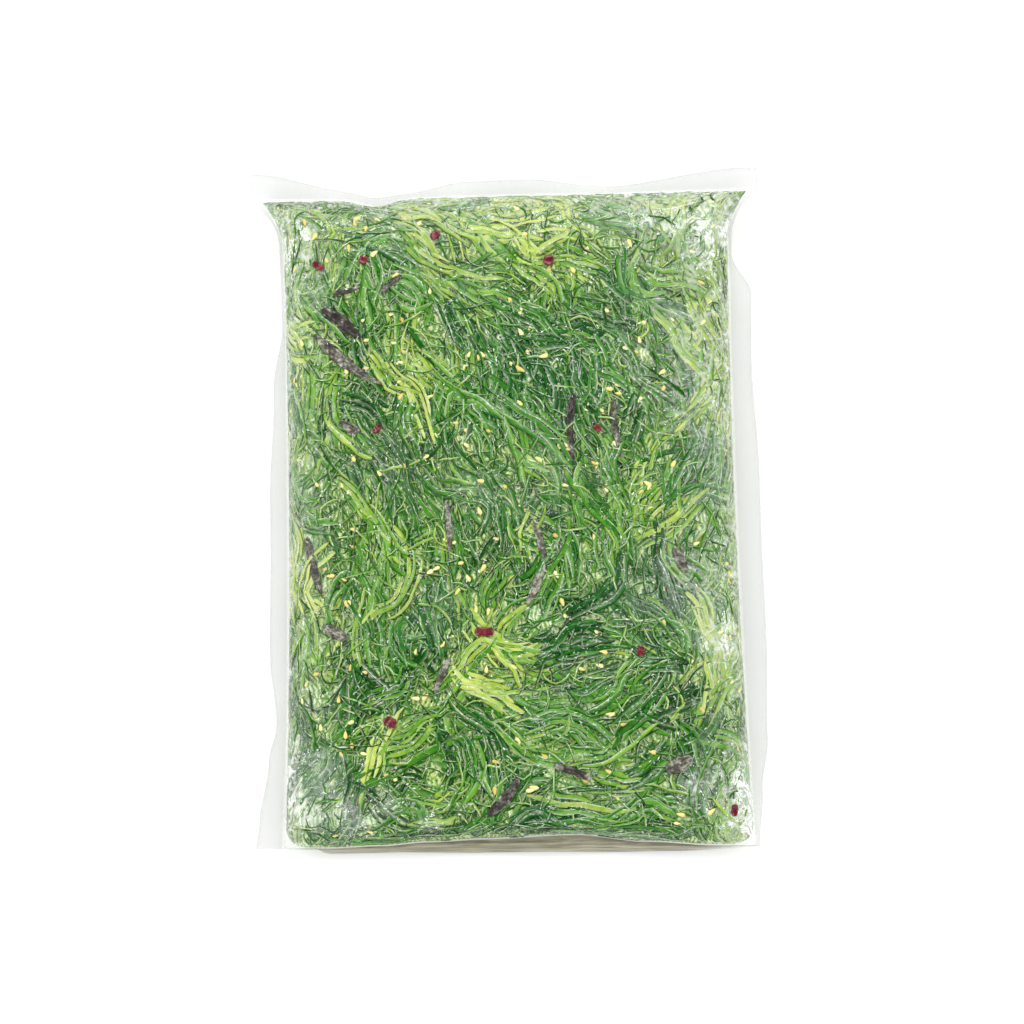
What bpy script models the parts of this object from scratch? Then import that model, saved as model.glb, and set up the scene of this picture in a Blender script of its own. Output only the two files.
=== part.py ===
"""Seasoned wakame, pressed flat and frozen in a clear heat-sealed pouch.

The pouch lies on its back: X is its width, Y its length with the open-end seal at +Y,
and Z its thickness, with the floor at z = 0. All lengths are in metres.
Two webs of clear film meet in a sealed margin. Between them lies a cake of cut wakame
and sesame seed in frozen dressing. Loose wakame ribbons, strips of wood-ear fungus and
bits of red chilli lie on the cake, just under the film.
"""

import math
import random

import bmesh
import bpy
from mathutils import Matrix, Vector, noise

# Pouch, measured over the outside of the film.
HALF_WIDTH = 0.0897  # from the middle to the side seam, at half length
WAIST = 0.0018  # how much wider the pouch is at its ends than at half length
WAIST_REACH = 0.120
HEAD_Y = 0.1305  # where the contents end at the head seal
FOOT_Y = -0.1365
SEAM_Z = 0.0095  # height of the sealed margin above the floor
TOP_Z = 0.0225
CROWN = 0.0012  # how much the middle stands above the rim of the top face
SIDE_SHOULDER = 0.0080  # width of the rounded side wall, seen from above
FOOT_SHOULDER = 0.0060
HEAD_TAPER = 0.0300  # length over which the pouch thins towards the head seal

# How the full pouch departs from a plain pillow.
FLARE = 0.0083  # the flat head seal is wider than the full part of the pouch
FLARE_LENGTH, FLARE_POWER = 0.0190, 1.6
NOTCH_X, NOTCH_HALF, NOTCH_DEPTH = -0.0525, 0.0085, 0.0034
FOOT_SKEW = 0.0017

# Sealed margin: its width beyond the seam at places along the pouch, as (y, width).
LEFT_MARGIN = (
    (-0.140, 0.0112), (-0.126, 0.0100), (-0.103, 0.0070), (-0.088, 0.0042), (-0.060, 0.0072),
    (0.005, 0.0072), (0.050, 0.0052), (0.076, 0.0012), (0.120, 0.0012), (0.130, 0.0036), (0.140, 0.0046),
)
RIGHT_MARGIN = (
    (-0.140, 0.0015), (-0.118, 0.0042), (-0.097, 0.0076), (-0.060, 0.0096), (0.017, 0.0100),
    (0.056, 0.0084), (0.086, 0.0090), (0.103, 0.0012), (0.124, 0.0014), (0.130, 0.0038), (0.140, 0.0050),
)
HEAD_MARGIN = (  # width of the head seal at places across it, as (x, width)
    (-0.104, 0.0117), (-0.060, 0.0038), (-0.052, 0.0036), (-0.040, 0.0021), (-0.016, 0.0069),
    (0.009, 0.0067), (0.046, 0.0031), (0.096, 0.0100), (0.104, 0.0090),
)
HEAD_REACH = 0.0050  # the side margins are read this far beyond the head and foot seams
FOOT_LEDGE, FOOT_MARGIN = 0.0012, 0.0070  # the foot seal stands out a little, then hangs down
FOOT_FOLD_TURN = math.radians(78)
EAR_X, EAR_LENGTH = 0.072, 0.018  # from here on the foot seal lies flat, as an ear at the left corner
EAR_SHORT, SHORT_FIRST = 0.85, 3.0  # most of the foot seal is tucked under well before that ear
MARGIN_WAVE, MARGIN_WAVE_LENGTH, WAVE_START = 0.0009, 0.052, 0.7
WAVE_CORNER = 0.010  # this near the head and foot the margin waves across and not along

FILM = 0.0003
SEAL_GAP = 0.0003  # clearance between the two webs
LIP = SEAL_GAP / 2 + FILM

# Depths below the outside of the film.
CAKE_DEPTH = 0.0032  # the body of the cake
PIECE_TOP, PIECE_BOTTOM = 0.0009, 0.0022  # loose pieces lie between these
STRAND_TOP, STRAND_TIP_TOP = 0.0009, 0.0022
STRAND_ROOT, STRAND_KEEL = 0.0037, 0.0048
SEED_DEPTH = 0.0026
MERGE = 0.00001  # points closer than this are one

# Wakame strands that stand out of the cake.
STRAND_STEP = 0.0115
STRAND_STEPS = 5
STRAND_SHORTEST = (5, 3)  # cross-sections of the shortest strand in the first lay, then between those
STRAND_HALF = 0.0042
STRAND_FLAT = 0.60  # the flat back of a strand as a share of its width
STRAND_TIP = 0.50  # width of a strand's tip as a share of its middle
STRAND_PITCH = 0.0060  # spacing of the places where a strand may start
START_PLACE = (0.2, 0.8)  # where in its square such a place may be, as shares of the pitch
STRAND_SPACING = 0.0076
STRAND_LEAN, STRAND_CURL = 0.35, 0.16  # most that a strand leaves the flow, in radians
FLOW_SCALE, FLOW_TURN = 0.085, 3.4
EDGE_KEEP = 0.0045
SEED_GAP = -0.0004  # a seed may touch the foot of a strand
SEED_SPACING = 0.0060
SEED_SIZE = (0.0017, 0.0011, 0.0009)
FRONT_SEEDS, BACK_SEEDS = 36, 24

# Grid stations of the webs and of the cake: flat part, wall, margin.
PLATE_COLUMNS, PLATE_ROWS, WALL_CUTS, TAPER_CUTS, MARGIN_CUTS = 16, 10, 4, 5, 1
CAKE_COLUMNS, CAKE_ROWS = 4, 6
FOOT_MARGIN_CUTS = 2

# Loose pieces: place on the flat web in millimetres, heading in degrees from +X,
# length, width, and the turn of the heading along the piece.
FRONT_RIBBONS = (
    (-33, 61, -58, 46, 4.4, 18), (64, 17, 12, 38, 4.2, -42), (46, -18, -88, 34, 4.0, 22),
    (26, -3, -14, 30, 5.0, -20), (4, 76, -24, 40, 4.6, 30), (-30, -100, 24, 44, 4.6, -50),
    (40, -88, -34, 46, 4.8, 24), (-58, -16, 64, 38, 4.2, -36),
)
BACK_RIBBONS = (
    (-40, 70, 60, 46, 4.6, 30), (38, 40, -40, 44, 4.4, -34), (-12, -36, 18, 48, 4.8, 40),
    (44, -84, 74, 42, 4.4, -30),
)
FRONT_WOOD_EARS = (
    (-66, 73, -40, 20, 6.2, 8), (-64, 56, -39, 36, 4.4, 26), (-64, 87, 16, 11, 3.0, 10),
    (-46, 90, 42, 11, 3.0, -14), (-64, 30, -29, 9, 3.6, 12), (-25, -12, -87, 21, 3.2, -12),
    (-79, -27, -76, 24, 4.0, 8), (-70, -54, -31, 10, 5.0, 18), (42, 26, -84, 24, 2.8, 20),
    (24, 27, -92, 28, 3.4, 22), (11, -28, -95, 36, 4.2, -58), (66, -28, -67, 11, 4.0, 10),
    (-5, -121, 49, 19, 4.2, 26), (21, -111, -21, 15, 3.6, -12), (62, -109, 22, 11, 6.0, 16),
    (-29, -72, -113, 15, 3.2, 8),
)
BACK_WOOD_EARS = (
    (-60, 20, 70, 26, 4.4, 34), (30, 82, -20, 20, 4.2, -24), (60, -30, -60, 30, 4.0, 40),
    (-30, -96, 12, 18, 5.0, 20), (4, 6, 110, 14, 3.6, -16),
)
FRONT_CHILLIES = (
    (-28, 108, 25, 4.0, 3.0, 30), (-57, 100, 70, 3.6, 3.2, 20), (-75, 98, -42, 5.2, 2.6, 20),
    (17, 98, 80, 4.6, 4.0, 30), (-12, -55, -4, 7.6, 3.6, 24), (-49, -90, -28, 5.0, 4.0, 20),
    (49, -64, 60, 3.8, 3.0, 20), (82, -127, 70, 4.6, 3.2, 20), (35, 27, -50, 3.4, 2.6, 20),
    (-53, 29, 40, 4.0, 2.6, 20),
)
BACK_CHILLIES = ((-20, 44, 30, 5.0, 3.6, 20), (52, 8, -60, 4.4, 3.4, 26), (-62, -60, 10, 6.0, 3.4, 20))

PIECE_CUT = 5.5  # length of a loose piece, in millimetres, between its cross-sections
PIECE_CLEAR = 0.0009
RAGGED_SCALE = 400  # bumps of a ragged edge to the metre

FRONT, BACK = 1, -1
MM = 0.001
DRAW_SEED = 11

COLOURS = {
    "clear_film": ((0.93, 0.96, 0.95), 0.18),
    "wakame_green": ((0.10, 0.30, 0.05), 0.35),
    "wakame_ribbon": ((0.06, 0.22, 0.06), 0.32),
    "wood_ear": ((0.045, 0.030, 0.028), 0.45),
    "red_chilli": ((0.48, 0.03, 0.03), 0.35),
}
FILM_ALPHA = 0.25


def ease(t):
    """0 to 1 with level ends."""
    t = min(1.0, max(0.0, t))
    return t * t * (3 - 2 * t)


def between(stations, place):
    """A smooth value from (place, value) stations in rising order."""
    if place <= stations[0][0]:
        return stations[0][1]
    for (start, a), (end, b) in zip(stations, stations[1:]):
        if place <= end:
            return a + (b - a) * ease((place - start) / (end - start))
    return stations[-1][1]


def quarter_ellipse(a, b):
    """Length of a quarter of an ellipse, by Ramanujan's formula."""
    h = ((a - b) / (a + b)) ** 2
    return math.pi / 4 * (a + b) * (1 + 3 * h / (10 + math.sqrt(4 - 3 * h)))


def height_of(side):
    return TOP_Z - SEAM_Z if side == FRONT else SEAM_Z


def wall_share(station):
    """Angle round a wall, 0 on the flat part and a quarter turn at the seam."""
    return math.pi / 2 * min(1.0, max(0.0, abs(station) - 1))


def form(s, t, side, depth=0.0, lip=0.0):
    """The pouch's surface, depth below the outside of the film.

    s runs across and t along. Up to 1 either way it is the flat part, from 1 to 2 the
    wall down to the seam, and from 2 to 3 the sealed margin.
    """
    round_s, round_t = wall_share(s), wall_share(t)
    across = (HALF_WIDTH - SIDE_SHOULDER) * min(1.0, abs(s))
    across += (SIDE_SHOULDER - depth) * math.sin(round_s)
    foot_plate, head_plate = FOOT_Y + FOOT_SHOULDER, HEAD_Y - HEAD_TAPER
    y = foot_plate + (head_plate - foot_plate) * (min(1.0, max(-1.0, t)) + 1) / 2
    if t > 1:
        y += (HEAD_TAPER - depth) * math.sin(round_t)
    elif t < -1:
        y -= (FOOT_SHOULDER - depth) * math.sin(round_t)

    near_head = ((y - HEAD_Y) / FLARE_LENGTH) + 1
    flare = FLARE * max(0.0, min(1.0, near_head)) ** FLARE_POWER
    stretch = 1 + (WAIST * (y / WAIST_REACH) ** 2 + flare) / HALF_WIDTH
    x = math.copysign(across * stretch, s)

    share = math.cos(round_s) * math.cos(round_t)
    z = SEAM_Z + side * (lip + (height_of(side) - lip - depth) * share)
    if side == FRONT:
        z += share * CROWN * (1 - (x / HALF_WIDTH) ** 2) * (1 - (y / HEAD_Y) ** 2)

    margin_s, margin_t = max(0.0, abs(s) - 2), max(0.0, abs(t) - 2)
    width = between(RIGHT_MARGIN if s > 0 else LEFT_MARGIN, y + math.copysign(margin_t, t) * HEAD_REACH)
    droop = margin_wave(x, y) * max(margin_s, margin_t)
    if t > 2:
        y += margin_t * between(HEAD_MARGIN, x)
    if t < -2:
        ear = ease((-x - EAR_X) / EAR_LENGTH)
        turn = FOOT_FOLD_TURN * (1 - ear)
        hang = FOOT_MARGIN * max(0.0, margin_t - 0.5) * 2 * (1 - EAR_SHORT * min(1.0, SHORT_FIRST * ear))
        half = turn if hang else turn / 2
        miter = lip / math.cos(turn - half)
        y -= FOOT_LEDGE * min(1.0, margin_t * 2) + hang * math.cos(turn) + side * miter * math.sin(half)
        z -= hang * math.sin(turn) + side * (lip - miter * math.cos(half))
    x += math.copysign(margin_s * width, s)

    notch = NOTCH_DEPTH * math.exp(-(((x - NOTCH_X) / NOTCH_HALF) ** 2))
    y -= notch * ease(t - 1)
    y -= FOOT_SKEW * x / HALF_WIDTH * ease(-t - 0.5)
    return Vector((x, y, z + droop))


def margin_wave(x, y):
    """Height of the margin's free edge above its root."""
    along = y if abs(y) < HEAD_Y - WAVE_CORNER else x
    return MARGIN_WAVE * math.sin(along / MARGIN_WAVE_LENGTH * math.tau + WAVE_START)


def stations(plate_cuts, start_wall, end_wall, start_margin=0, end_margin=0):
    """Grid stations across or along a web: margin, wall, flat part, wall, margin."""
    found = [-3 + i / start_margin for i in range(start_margin)]
    found += [-2 + i / start_wall for i in range(start_wall)]
    found += [-1 + 2 * i / plate_cuts for i in range(plate_cuts)]
    found += [1 + i / end_wall for i in range(end_wall)]
    found += [2 + i / max(1, end_margin) for i in range(end_margin + 1)]
    return found


def shaped_grid(columns, rows, place):
    """A bmesh grid whose vertex in column i and row j stands at place(columns[i], rows[j])."""
    mesh = bmesh.new()
    bmesh.ops.create_grid(mesh, x_segments=len(columns) - 1, y_segments=len(rows) - 1, size=1.0)
    for vertex in mesh.verts:
        i = round((vertex.co.x + 1) / 2 * (len(columns) - 1))
        j = round((vertex.co.y + 1) / 2 * (len(rows) - 1))
        vertex.co = place(columns[i], rows[j])
    return mesh


def split_alike(mesh):
    """Splits every cell the same way, so that two sheets, one close over the other, don't cross."""
    bmesh.ops.triangulate(mesh, faces=mesh.faces, quad_method="FIXED")
    return mesh


def to_object(mesh, name, collection, material, smooth=True):
    """Turns a bmesh into an object of the collection."""
    bmesh.ops.recalc_face_normals(mesh, faces=mesh.faces)
    if mesh.calc_volume(signed=True) < 0:
        bmesh.ops.reverse_faces(mesh, faces=mesh.faces)
    data = bpy.data.meshes.new(name)
    mesh.to_mesh(data)
    mesh.free()
    obj = bpy.data.objects.new(name, data)
    collection.objects.link(obj)
    data.materials.append(material)
    if smooth:
        data.shade_smooth()
    return obj


def thicken(obj, thickness, outward):
    """Solidify on the side away from outward. Flips the faces first where they look inward."""
    if sum((face.normal.dot(outward) * face.area for face in obj.data.polygons)) < 0:
        obj.data.flip_normals()
    shell = obj.modifiers.new("thickness", "SOLIDIFY")
    shell.thickness = thickness
    shell.offset = -1
    shell.use_even_offset = True
    return obj


def make_material(slot):
    colour, roughness = COLOURS[slot]
    material = bpy.data.materials.new(slot)
    material.use_nodes = True
    surface = material.node_tree.nodes["Principled BSDF"]
    surface.inputs["Base Color"].default_value = (*colour, 1)
    surface.inputs["Roughness"].default_value = roughness
    surface.inputs["Metallic"].default_value = 0
    if slot == "clear_film":
        surface.inputs["Alpha"].default_value = FILM_ALPHA
    return material


def film_web(name, side, collection, material):
    """One web of clear film, formed over the cake, with its sealed margin."""
    columns = stations(PLATE_COLUMNS, WALL_CUTS, WALL_CUTS, MARGIN_CUTS, MARGIN_CUTS)
    rows = stations(PLATE_ROWS, WALL_CUTS, TAPER_CUTS, FOOT_MARGIN_CUTS, MARGIN_CUTS)
    mesh = split_alike(shaped_grid(columns, rows, lambda s, t: form(s, t, side, lip=LIP)))
    web = to_object(mesh, name, collection, material)
    return thicken(web, FILM, Vector((0, 0, side)))


def cake_body(collection, material):
    """The pressed body of the cake: a top and an underside that share their rim."""
    columns = stations(CAKE_COLUMNS, WALL_CUTS, WALL_CUTS)
    rows = stations(CAKE_ROWS, WALL_CUTS, TAPER_CUTS)
    body, under = (
        shaped_grid(columns, rows, lambda s, t: form(s, t, side, CAKE_DEPTH)) for side in (FRONT, BACK)
    )
    underside = bpy.data.meshes.new("underside")
    under.to_mesh(underside)
    under.free()
    body.from_mesh(underside)
    bpy.data.meshes.remove(underside)
    bmesh.ops.remove_doubles(body, verts=body.verts, dist=MERGE)
    return to_object(body, "wakame_cake", collection, material, smooth=False)


def flat_length(side):
    """Half the flat width of a web, and its reach to the foot and head seams."""
    wall = quarter_ellipse(SIDE_SHOULDER, height_of(side))
    foot = quarter_ellipse(FOOT_SHOULDER, height_of(side))
    head = quarter_ellipse(HEAD_TAPER, height_of(side))
    return wall, foot, head


def on_web(u, v, side, depth):
    """The point u across and v along the flat web, once the web is formed."""
    wall, foot, head = flat_length(side)
    plate = HALF_WIDTH - SIDE_SHOULDER
    s = u / plate if abs(u) <= plate else math.copysign(1 + (abs(u) - plate) / wall, u)
    low, high = FOOT_Y + FOOT_SHOULDER, HEAD_Y - HEAD_TAPER
    if v < low:
        t = -1 - (low - v) / foot
    elif v > high:
        t = 1 + (v - high) / head
    else:
        t = 2 * (v - low) / (high - low) - 1
    return form(s, t, side, depth)


def inside_web(u, v, side, keep):
    """True where the flat point is at least keep from the seams."""
    wall, foot, head = flat_length(side)
    wide = HALF_WIDTH - SIDE_SHOULDER + wall - keep
    low = FOOT_Y + FOOT_SHOULDER - foot + keep
    high = HEAD_Y - HEAD_TAPER + head - keep
    return abs(u) <= wide and low <= v <= high


def curved_path(row, cuts):
    """Flat points and headings along a loose piece, from its centre, heading, length and turn."""
    x, y, heading, length, _, turn = row
    step = length * MM / cuts
    points, headings = [(0.0, 0.0)], []
    for i in range(cuts):
        angle = math.radians(heading + turn * ((i + 0.5) / cuts - 0.5))
        headings.append(angle)
        u, v = points[-1]
        points.append((u + step * math.cos(angle), v + step * math.sin(angle)))
    middle = points[cuts // 2]
    moved = [(u - middle[0] + x * MM, v - middle[1] + y * MM) for u, v in points]
    return moved, headings + headings[-1:]


def loose_piece(name, row, side, collection, material, cuts, ends, rough=0.0):
    """A flat curved piece between the cake and the film. ends is how much its ends narrow."""
    path, headings = curved_path(row, cuts)
    half = row[4] * MM / 2

    def place(i, j):
        (u, v), angle = path[i], headings[i]
        along = 2 * i / cuts - 1
        ragged = 1 + rough * noise.noise(Vector((u * RAGGED_SCALE, v * RAGGED_SCALE, j * 3.0)))
        reach = j * half * (1 - ends * along**4) * ragged
        return on_web(u - reach * math.sin(angle), v + reach * math.cos(angle), side, PIECE_TOP)

    blade = split_alike(shaped_grid(range(cuts + 1), (-1, 0, 1), place))
    piece = to_object(blade, name, collection, material)
    return thicken(piece, PIECE_BOTTOM - PIECE_TOP, Vector((0, 0, side)))


def flow(u, v, side):
    """Direction in which the strands lie at a point of the flat web."""
    return math.pi / 2 + FLOW_TURN * noise.noise(Vector((u / FLOW_SCALE, v / FLOW_SCALE, 3.7 * side + 9.1)))


class Taken:
    """Flat places that are already covered, so that strands lie beside each other."""

    def __init__(self):
        self.spots = {FRONT: [], BACK: []}

    def add(self, side, points, radius):
        for (u0, v0), (u1, v1) in zip(points, points[1:]):
            self.spots[side].append((u0, v0, radius))
            self.spots[side].append(((u0 + u1) / 2, (v0 + v1) / 2, radius))
        self.spots[side].append((*points[-1], radius))

    def free(self, side, u, v, radius):
        return all((u - a) ** 2 + (v - b) ** 2 >= (radius + r) ** 2 for a, b, r in self.spots[side])


def strand_path(u, v, side, shortest, taken, draw):
    """Flat points of a strand that follows the flow both ways from (u, v), or None where it is crowded."""
    lean = draw.uniform(-STRAND_LEAN, STRAND_LEAN)
    curl = draw.uniform(-STRAND_CURL, STRAND_CURL)

    def open_at(a, b):
        return inside_web(a, b, side, EDGE_KEEP) and taken.free(side, a, b, STRAND_SPACING / 2)

    def walk(sign, steps):
        a, b, found, angle = u, v, [], flow(u, v, side) + lean
        for _ in range(steps):
            angle += (flow(a, b, side) + lean - angle) / 2 + sign * curl
            half_a, half_b = (sign * STRAND_STEP / 2 * turn(angle) for turn in (math.cos, math.sin))
            if not open_at(a + half_a, b + half_b) or not open_at(a + 2 * half_a, b + 2 * half_b):
                break
            a, b = a + 2 * half_a, b + 2 * half_b
            found.append((a, b))
        return found

    if not open_at(u, v):
        return None
    ahead = walk(1, STRAND_STEPS // 2 + 1)
    behind = walk(-1, STRAND_STEPS - len(ahead))
    path = behind[::-1] + [(u, v)] + ahead
    return path if len(path) >= shortest else None


def strand(path, side, collection, material):
    """A strand along the path, with its edges and its keel sunk in the cake."""
    last = len(path) - 1

    def place(i, corner):
        u0, v0 = path[max(0, i - 1)]
        u1, v1 = path[min(last, i + 1)]
        angle = math.atan2(v1 - v0, u1 - u0)
        tip = i in (0, last)
        top = STRAND_TIP_TOP if tip else STRAND_TOP
        flat = (-STRAND_FLAT, top), (STRAND_FLAT, top)
        section = ((-1, STRAND_ROOT), *flat, (1, STRAND_ROOT), (0, STRAND_KEEL))
        across, depth = section[corner % 5]
        reach = across * STRAND_HALF * (STRAND_TIP if tip else 1)
        u, v = path[i]
        return on_web(u - reach * math.sin(angle), v + reach * math.cos(angle), side, depth)

    tube = shaped_grid(range(last + 1), range(6), place)
    bmesh.ops.remove_doubles(tube, verts=tube.verts, dist=MERGE)
    bmesh.ops.holes_fill(tube, edges=tube.edges, sides=5)
    return to_object(tube, "strand", collection, material, smooth=False)


def grow_strands(taken, collection, material, draw):
    """Strands in rows over both faces, each where there is room."""
    paths = []
    for side in (FRONT, BACK):
        wall, foot, head = flat_length(side)
        wide = HALF_WIDTH - SIDE_SHOULDER + wall
        low, high = FOOT_Y + FOOT_SHOULDER - foot, HEAD_Y - HEAD_TAPER + head
        starts = []
        for i in range(int(2 * wide / STRAND_PITCH)):
            for j in range(int((high - low) / STRAND_PITCH)):
                aside, along = i + draw.uniform(*START_PLACE), j + draw.uniform(*START_PLACE)
                starts.append((-wide + STRAND_PITCH * aside, low + STRAND_PITCH * along))
        draw.shuffle(starts)
        for shortest in STRAND_SHORTEST:
            for u, v in starts:
                path = strand_path(u, v, side, shortest, taken, draw)
                if path:
                    taken.add(side, path, STRAND_SPACING / 2)
                    paths.append((path, side))
    for path, side in paths:
        strand(path, side, collection, material)
    return paths


def seed(u, v, side, turn, collection, material):
    """One sesame seed, half sunk, with its long axis at the given turn."""
    step = 0.001
    centre = on_web(u, v, side, SEED_DEPTH)
    ahead = on_web(u + step * math.cos(turn), v + step * math.sin(turn), side, SEED_DEPTH)
    along = (ahead - centre).normalized()
    out = (centre - on_web(u, v, side, SEED_DEPTH + step)).normalized()
    wide = out.cross(along).normalized()
    out = along.cross(wide)
    mesh = bmesh.new()
    bmesh.ops.create_icosphere(mesh, subdivisions=1, radius=1.0)
    turned = Matrix((along * SEED_SIZE[0], wide * SEED_SIZE[1], out * SEED_SIZE[2])).transposed().to_4x4()
    bmesh.ops.transform(mesh, matrix=Matrix.Translation(centre) @ turned, verts=mesh.verts)
    return to_object(mesh, "seed", collection, material, smooth=False)


def sow_seeds(taken, collection, material, draw):
    """Sesame seeds scattered over both faces, clear of the loose pieces and of each other."""
    for side, count in ((FRONT, FRONT_SEEDS), (BACK, BACK_SEEDS)):
        done = 0
        while done < count:
            u = draw.uniform(-HALF_WIDTH, HALF_WIDTH)
            v = draw.uniform(FOOT_Y, HEAD_Y)
            if not inside_web(u, v, side, EDGE_KEEP) or not taken.free(side, u, v, SEED_GAP):
                continue
            taken.add(side, [(u, v)], SEED_SPACING)
            seed(u, v, side, draw.uniform(0, math.pi), collection, material)
            done += 1


def join_into(body, repeats):
    """Unites the body with every object of the collection, then removes those objects."""
    union = body.modifiers.new("repeats", "BOOLEAN")
    union.operation = "UNION"
    union.operand_type = "COLLECTION"
    union.collection = repeats
    union.solver = "MANIFOLD"
    bpy.context.view_layer.update()
    graph = bpy.context.evaluated_depsgraph_get()
    joined = bpy.data.meshes.new_from_object(body.evaluated_get(graph))
    body.modifiers.clear()
    body.data = joined
    for obj in list(repeats.objects):
        bpy.data.objects.remove(obj)
    bpy.data.collections.remove(repeats)


def lay_loose_pieces(taken, collection, materials):
    """Ribbons, wood-ear strips and chilli on both faces, each its own object."""
    kinds = (
        ("wakame_ribbon", "wakame_ribbon", FRONT_RIBBONS, BACK_RIBBONS, 0.55, 0.15),
        ("wood_ear_strip", "wood_ear", FRONT_WOOD_EARS, BACK_WOOD_EARS, 0.45, 0.50),
        ("chilli_bit", "red_chilli", FRONT_CHILLIES, BACK_CHILLIES, 0.30, 0.30),
    )
    for label, slot, front, back, ends, rough in kinds:
        number = 0
        for side, rows in ((FRONT, front), (BACK, back)):
            for row in rows:
                number += 1
                name = f"{label}_{number:02d}"
                cuts = max(2, 2 * round(row[3] / PIECE_CUT / 2))
                loose_piece(name, row, side, collection, materials[slot], cuts, ends, rough)
                path, _ = curved_path(row, 2 * cuts)
                taken.add(side, path, row[4] * MM / 2 * (1 + rough / 2) + PIECE_CLEAR)


def main():
    for obj in list(bpy.data.objects):
        bpy.data.objects.remove(obj)
    pouch = bpy.data.collections.new("wakame_pouch")
    repeats = bpy.data.collections.new("strands_and_seeds")
    for collection in (pouch, repeats):
        bpy.context.scene.collection.children.link(collection)
    materials = {slot: make_material(slot) for slot in COLOURS}
    draw = random.Random(DRAW_SEED)
    taken = Taken()

    film_web("film_front", FRONT, pouch, materials["clear_film"])
    film_web("film_back", BACK, pouch, materials["clear_film"])
    cake = cake_body(pouch, materials["wakame_green"])
    lay_loose_pieces(taken, pouch, materials)
    strands = grow_strands(taken, repeats, materials["wakame_green"], draw)
    sow_seeds(taken, repeats, materials["wakame_green"], draw)
    join_into(cake, repeats)
    print(len(strands), "strands,", FRONT_SEEDS + BACK_SEEDS, "seeds,", len(cake.data.polygons), "cake faces")


main()
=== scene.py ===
# %% [markdown]
# # A pouch of seasoned wakame
# The real thing is a flat plastic pouch, welded round its edge, with about a kilogram of shredded
# wakame frozen inside. We start from the packed solids, keep their size, and replace each one by a
# finer piece. The box of the solids is kept.

import math

import bpy
import numpy as np
from mathutils import Matrix, Vector


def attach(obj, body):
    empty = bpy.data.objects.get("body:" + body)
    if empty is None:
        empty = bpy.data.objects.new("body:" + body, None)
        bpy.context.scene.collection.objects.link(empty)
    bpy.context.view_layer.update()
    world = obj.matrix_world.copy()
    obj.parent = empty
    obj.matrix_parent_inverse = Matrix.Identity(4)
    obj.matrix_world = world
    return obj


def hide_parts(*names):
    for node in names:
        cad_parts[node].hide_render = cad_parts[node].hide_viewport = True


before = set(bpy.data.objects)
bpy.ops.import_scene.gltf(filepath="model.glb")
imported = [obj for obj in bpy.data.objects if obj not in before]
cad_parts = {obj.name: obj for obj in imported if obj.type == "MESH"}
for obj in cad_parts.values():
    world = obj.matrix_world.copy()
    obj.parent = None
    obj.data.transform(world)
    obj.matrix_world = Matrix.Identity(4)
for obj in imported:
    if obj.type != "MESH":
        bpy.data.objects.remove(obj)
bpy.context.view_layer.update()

# %% [markdown]
# ## The camera
# The pouch lies flat and we look down on it, a little from its foot, with a long lens. The lens
# could be guessed from the look of the edges, but here it follows from the distance and from how
# large a millimetre is in the picture. The camera is also rolled a little, as the pouch was.

# %% Place the camera
DISTANCE = 1.30
TILT = math.radians(76)
ROLL = math.radians(1.4)
AIM = Vector((0.0, -0.004, 0.012))
PICTURE, FOCAL_PIXELS, SENSOR = 1024, 3250, 36.0


def place_camera():
    level, lifted = Vector((1, 0, 0)), Vector((0, math.sin(TILT), math.cos(TILT)))
    back = Vector((0, -math.cos(TILT), math.sin(TILT)))
    right = math.cos(ROLL) * level - math.sin(ROLL) * lifted
    up = math.sin(ROLL) * level + math.cos(ROLL) * lifted
    data = bpy.data.cameras.new("copy_stand_camera")
    data.sensor_width = SENSOR
    data.lens = FOCAL_PIXELS / PICTURE * SENSOR
    data.clip_start, data.clip_end = 0.05, 20
    camera = bpy.data.objects.new("copy_stand_camera", data)
    camera.matrix_world = Matrix((right, up, back)).transposed().to_4x4()
    camera.location = AIM + DISTANCE * back
    bpy.context.scene.collection.objects.link(camera)
    bpy.context.scene.camera = camera
    return camera


print("lens", round(place_camera().data.lens, 1), "mm")

# %% [markdown]
# ## Floor and light
# A pack shot on white has light from all sides, so there is almost no shadow, but the room above the
# camera is dark, or the film would mirror it as a grey veil. So the world is bright near the horizon
# and dark overhead, and four soft lamps stand low enough that the flat film can't mirror them. The
# table glows, as a light table does, which takes away most of what is left of the shadow.

# %% The white table
FLOOR_WHITE, FLOOR_GLOW = 0.60, 0.46
FLOOR_SIZE, FLOOR_GAP = 8, 0.0003


def lay_table():
    bpy.ops.mesh.primitive_plane_add(size=FLOOR_SIZE, location=(0, 0, -FLOOR_GAP))
    floor = bpy.context.object
    floor.name = "white_table"
    paint = bpy.data.materials.new("white_table")
    paint.use_nodes = True
    shader = paint.node_tree.nodes["Principled BSDF"]
    shader.inputs["Base Color"].default_value = (FLOOR_WHITE, FLOOR_WHITE, FLOOR_WHITE, 1)
    shader.inputs["Roughness"].default_value = 0.9
    shader.inputs["Emission Color"].default_value = (1, 1, 1, 1)
    shader.inputs["Emission Strength"].default_value = FLOOR_GLOW
    floor.data.materials.append(paint)
    print("table", FLOOR_SIZE, "m wide")


lay_table()

# %% The room
ROOM = ((0.10, 1.25), (0.55, 0.90), (0.80, 0.12), (1.00, 0.06))  # height and brightness


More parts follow.
